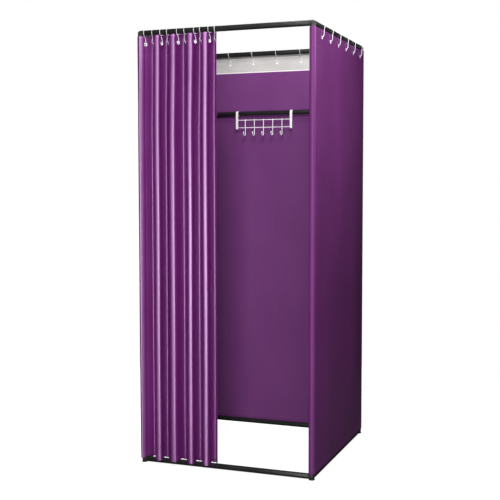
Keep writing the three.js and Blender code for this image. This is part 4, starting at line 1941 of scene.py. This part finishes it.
@dataclass
class HookRack:
    """The rack on the bar: two bent straps, two cross wires and five pegs."""

    plan: Plan
    enamel: Finish
    offset: float = -0.1115
    spacing: float = 0.303
    bar_radius: float = 0.011
    fit: float = 0.0003
    strap_width: float = 0.013
    strap_thickness: float = 0.0016
    strap_drop: float = 0.084
    strap_round: float = 0.0004
    rear_drop: float = 0.012
    strap_squares: tuple[int, int] = (6, 8)
    bend_steps: int = 24
    tip_steps: int = 8
    tip_share: float = 0.04
    wire: float = 0.004
    wire_sides: int = 20
    wire_round: float = 0.0004
    drops: Span = (0.036, 0.076)
    pegs: int = 5
    peg_pitch: float = 0.0515
    peg_wire: float = 0.0044
    peg_rise: float = 0.0022
    peg_drop: float = 0.106
    peg_shares: tuple[float, ...] = (0, 0.25, 0.5, 0.75)
    peg_turn: float = 0.013
    turn_steps: int = 18
    tip_rise: float = 0.004
    peg_ball: float = 0.008
    weld_depth: float = 0.0006

    def middle(self) -> Vector:
        """The bar's axis at the rack's middle."""
        x = (self.plan.left + self.plan.right) / 2 + self.offset
        return Vector((x, self.plan.rear, self.plan.bar))

    def strap(self, side: str, x: float) -> None:
        """Bend a flat strap over the bar, with a rounded tip.

        Args:
            side: Left or right.
            x: The strap's middle.
        """
        centre = Vector((x, self.plan.rear, self.plan.bar))
        middle = self.bar_radius + self.fit + self.strap_thickness / 2
        half = self.strap_width / 2
        straight = self.strap_drop - half
        piece = added(
            bpy.ops.mesh.primitive_grid_add,
            x_subdivisions=self.strap_squares[0],
            y_subdivisions=self.strap_squares[1],
            size=1,
            location=centre - Vector((0, middle, straight / 2)),
            rotation=(math.pi / 2, 0, 0),
        )
        piece.scale = (self.strap_width, straight, 1)
        settle(piece, "strap")
        choose(piece, lambda point: point.z > centre.z - 1e-5)
        with editing(piece):
            bpy.ops.mesh.spin(steps=self.bend_steps, angle=math.pi, center=centre, axis=(1, 0, 0))
            draw_out(-self.rear_drop)
        choose(piece, lambda point: point.z < centre.z - straight + 1e-5)
        reach, fall = half, 0.0
        with editing(piece):
            for angle in np.linspace(0, math.pi / 2, self.tip_steps + 1)[1:]:
                narrower, lower = half * max(math.cos(angle), self.tip_share), half * math.sin(angle)
                draw_out(fall - lower)
                bpy.ops.transform.resize(value=(narrower / reach, 1, 1), center_override=centre)
                reach, fall = narrower, lower
        tidy_mesh(piece)
        modify(piece, "SOLIDIFY", thickness=self.strap_thickness, offset=0, use_even_offset=True)
        soften(piece, self.strap_round)
        smooth(piece, Smoothing.RACK)
        place_piece(piece, f"strap_{side}", "hook_rack", [f"rack_strap_{side}"], "white_enamel", self.enamel)

    def peg(self, x: float, y: float, z: float) -> Piece:
        """Bend a peg with a ball on its tip.

        Args:
            x: Its place along the rack.
            y: Its wire's place from front to back.
            z: The bar's axis.

        Returns:
            The peg.
        """
        top = Vector((x, y, z + self.peg_rise - self.drops[0]))
        straight = self.peg_drop + self.peg_rise - self.drops[0]
        line = [top + Vector((0, 0, -straight * share)) for share in self.peg_shares]
        for angle in np.linspace(0, math.pi, self.turn_steps + 1):
            reach = self.peg_turn * (1 - math.cos(angle))
            line.append(Vector((x, y - reach, z - self.peg_drop - self.peg_turn * math.sin(angle))))
        tip = Vector((x, y - 2 * self.peg_turn, z + self.tip_rise - self.peg_drop))
        piece = bent_wire("peg", [*line, tip], self.peg_wire / 2)
        weld(piece, ball(tip, self.peg_ball / 2))
        return piece

    def grid(self) -> None:
        """Weld the wires and pegs."""
        centre = self.middle()
        face = centre.y - self.bar_radius - self.fit - self.strap_thickness / 2
        half = Vector((self.spacing / 2 - self.strap_width / 2 - self.fit, 0, 0))
        wires = []
        for drop in self.drops:
            at = Vector((centre.x, face, centre.z - drop))
            wires.append(rod(at - half, at + half, self.wire / 2, self.wire_sides))
            soften(wires[-1], self.wire_round)
        y = face - (self.wire + self.peg_wire) / 2 + self.weld_depth
        piece, lower = wires
        weld(piece, lower)
        for i in range(self.pegs):
            weld(piece, self.peg(centre.x + (i - (self.pegs - 1) / 2) * self.peg_pitch, y, centre.z))
        smooth(piece, Smoothing.RACK)
        place_piece(piece, "peg_grid", "hook_rack", ["rack_grid"], "white_enamel", self.enamel)

    def build(self) -> None:
        """Build the rack."""
        middle = self.middle().x
        self.strap("left", middle - self.spacing / 2)
        self.strap("right", middle + self.spacing / 2)
        self.grid()


# The studio


@dataclass(frozen=True)
class Softbox:
    """A soft lamp: where its middle is, what it points at, its width and height, and its watts."""

    name: str
    place: Triple
    aim: Triple
    size: Span
    power: float

    def stand(self) -> None:
        """Put the lamp up."""
        lamp = added(bpy.ops.object.light_add, type="AREA", location=self.place)
        lamp.name = self.name
        lamp.data.shape = "RECTANGLE"
        lamp.data.size, lamp.data.size_y = self.size
        lamp.data.energy = self.power
        lamp.rotation_euler = (Vector(self.aim) - Vector(self.place)).to_track_quat("-Z", "Y").to_euler()


@dataclass
class Studio:
    """The camera, the floor, the world and the lamps."""

    camera_place: Triple = (1.608367, -4.382920, 1.307690)
    yaw: float = 0.358403381
    pitch: float = 0.0702686374
    roll: float = -0.00207444650
    lens: float = 68.887
    sensor: float = 36
    view_end: float = 100
    ambient: float = 0.02
    paper_angle: float = 0.2
    paper_fade: float = 0.14
    dim_sides: float = 0.02
    floor_radius: float = 2.2
    floor_sides: int = 96
    floor_drop: float = 0.0004
    floor_shades: tuple[Colour, Colour] = ((0.36, 0.36, 0.36), (0.38, 0.38, 0.38))
    floor_bounce: Colour = (0.05, 0.05, 0.05)
    floor_patches: Triple = (0.6, 0.6, 0.6)
    floor_glow: float = 0.9
    floor_roughness: float = 0.18
    floor_index: float = 2.6
    dim_floor: float = 0.03
    lamps: tuple[Softbox, ...] = (
        Softbox("tall_key", (1.1, -4.1, 0.85), (-0.2, -0.45, 0.75), (0.8, 2.3), 86),
        Softbox("high_fill", (1.1, -2.8, 3.3), (-0.1, -0.4, 1.5), (1.2, 0.9), 92),
        Softbox("right_fill", (1.5, -0.1, 2.2), (0.43, -1.2, 1.9), (0.5, 0.5), 17),
        Softbox("rear_fill", (-2.3, 2.7, 1.9), (0, 0.2, 0.9), (1.6, 1.6), 70),
        Softbox("inner_top", (0.34, -0.28, 2.9), (0.26, 0.43, 1.45), (0.4, 0.3), 9),
    )

    def camera(self) -> None:
        """Set up the camera at the photograph's view."""
        level = math.cos(self.pitch)
        forward = Vector((-math.sin(self.yaw) * level, math.cos(self.yaw) * level, -math.sin(self.pitch)))
        right = forward.cross(Axis.UP.value).normalized()
        up = right.cross(forward)
        turned_right = right * math.cos(self.roll) + up * math.sin(self.roll)
        turned_up = up * math.cos(self.roll) - right * math.sin(self.roll)
        camera = added(bpy.ops.object.camera_add, location=self.camera_place)
        camera.name = "camera"
        camera.data.lens = self.lens
        camera.data.sensor_width = self.sensor
        camera.data.sensor_fit = "HORIZONTAL"
        camera.data.clip_end = self.view_end
        from_axes = [[turned_right[i], turned_up[i], -forward[i]] for i in range(3)]
        camera.rotation_euler = Matrix(from_axes).to_euler()
        bpy.context.scene.camera = camera

    def floor(self) -> None:
        """Lay a plain pale floor that keeps a soft shadow."""
        floor = added(
            bpy.ops.mesh.primitive_circle_add,
            vertices=self.floor_sides,
            radius=self.floor_radius,
            fill_type="TRIFAN",
            location=(0, 0, -self.floor_drop),
        )
        settle(floor, "floor")
        surface = Surface("pale_floor")
        cloud = surface.noise(surface.solid_map(), self.floor_patches, 2)
        rays = surface.node("LightPath").outputs
        shade = surface.blend(surface.ramp(cloud, 0.3, 0.7), *self.floor_shades)
        seen = surface.sum("MAXIMUM", rays["Is Glossy Ray"], rays["Is Transmission Ray"])
        mirrored = surface.sum("MULTIPLY", seen, self.dim_floor)
        glow = surface.sum("MAXIMUM", rays["Is Camera Ray"], mirrored)
        surface.coat(
            Base_Color=surface.blend(rays["Is Camera Ray"], self.floor_bounce, shade),
            Roughness=self.floor_roughness,
            IOR=self.floor_index,
            Emission_Color=(1, 1, 1),
            Emission_Strength=surface.sum("MULTIPLY", glow, self.floor_glow),
        )
        wear(floor, surface.material)

    def world(self) -> None:
        """Fill the room with soft light, and show white paper behind it."""
        world = bpy.data.worlds.new("soft_fill")
        world.use_nodes = True
        bpy.context.scene.world = world
        graph = Graph(world.node_tree)
        background = graph.own("BACKGROUND")
        rays = graph.node("LightPath").outputs
        towards = graph.node("VectorMath", operation="DOT_PRODUCT")
        graph.feed(towards.inputs[0], graph.node("TexCoord").outputs["Generated"])
        graph.feed(towards.inputs[1], (-math.sin(self.yaw), math.cos(self.yaw), 0))
        edges = (math.cos(self.paper_angle + self.paper_fade), math.cos(self.paper_angle))
        paper = graph.ramp(towards.outputs["Value"], *edges, self.dim_sides)
        seen = graph.sum("MAXIMUM", rays["Is Glossy Ray"], rays["Is Transmission Ray"])
        mirrored = graph.sum("MULTIPLY", seen, paper)
        diffuse = graph.sum("MULTIPLY", rays["Is Diffuse Ray"], self.ambient)
        level = graph.sum("MAXIMUM", rays["Is Camera Ray"], graph.sum("MAXIMUM", mirrored, diffuse))
        graph.feed(background.inputs["Strength"], level)
        graph.feed(background.inputs["Color"], (1, 1, 1))

    def build(self) -> None:
        """Build the studio."""
        self.camera()
        self.floor()
        self.world()
        for lamp in self.lamps:
            lamp.stand()
        bpy.context.scene.view_settings.view_transform = "Standard"


def build_room() -> None:
    """Build the fitting room and its studio."""
    Studio().build()
    plan = Plan()
    steel = PowderCoat(
        "black_powder_coat",
        colour=(0.014, 0.014, 0.0135),
        scuffed=(0.024, 0.024, 0.023),
        level=0.3,
    ).material()
    plastic = MouldedPlastic(
        "black_moulding",
        colour=(0.02, 0.02, 0.02),
        rubbed=(0.032, 0.032, 0.031),
    ).material()
    enamel = PowderCoat(
        "white_enamel",
        colour=(0.95, 0.92, 0.94),
        scuffed=(0.9, 0.86, 0.89),
        roughness=0.3,
        peel_scale=600,
        peel_depth=0.00002,
    ).material()
    wire = DrawnWire(
        "bright_wire",
        colour=(0.9, 0.89, 0.92),
        dulled=(0.78, 0.76, 0.81),
        metal=0.12,
    ).material()
    rim = DrawnWire(
        "eyelet_metal",
        colour=(0.97, 0.95, 0.97),
        dulled=(0.93, 0.9, 0.93),
        metal=0,
    ).material()
    satin = Satin(
        "draw_satin",
        colour=(0.143, 0.011, 0.147),
        deep=(0.126, 0.009, 0.13),
        stitching=Stitching((0.021, 1.8595, 1.937), (0.02, 0.822)),
        roughness=0.36,
        index=2.0,
        level=0.83,
    ).material()
    wall_rows = Stitching((0.021, 1.8645, 1.939))
    wall = Satin(
        "wall_satin",
        colour=(0.166, 0.034, 0.171),
        deep=(0.144, 0.028, 0.149),
        stitching=wall_rows,
        roughness=0.42,
        index=1.5,
        level=0.32,
    ).material()
    back = Satin(
        "satin_back",
        colour=(0.166, 0.044, 0.182),
        deep=(0.144, 0.037, 0.158),
        stitching=wall_rows,
        roughness=0.5,
        index=1.5,
        level=0.3,
    ).material()
    tape = TapeWeave(
        "heading_tape",
        colour=(0.56, 0.544, 0.528),
        shaded=(0.485, 0.472, 0.46),
        edge=(0.86, 0.78, 0.82),
        edge_low=1.863,
        edge_high=1.868,
    ).material()
    rings = HookRing(wire, rim)
    TubeFrame(plan, steel, plastic).build()
    CrossBar(plan, steel, plastic).build()
    DrawCurtain(plan, rings, satin, back, tape).build()
    WallCurtain(plan, rings, wall, back, tape).build()
    HookRack(plan, enamel).build()


def main() -> None:
    """Build everything."""
    logging.basicConfig(level=logging.INFO, format="%(message)s")
    build_room()


if __name__ == "__main__":
    main()
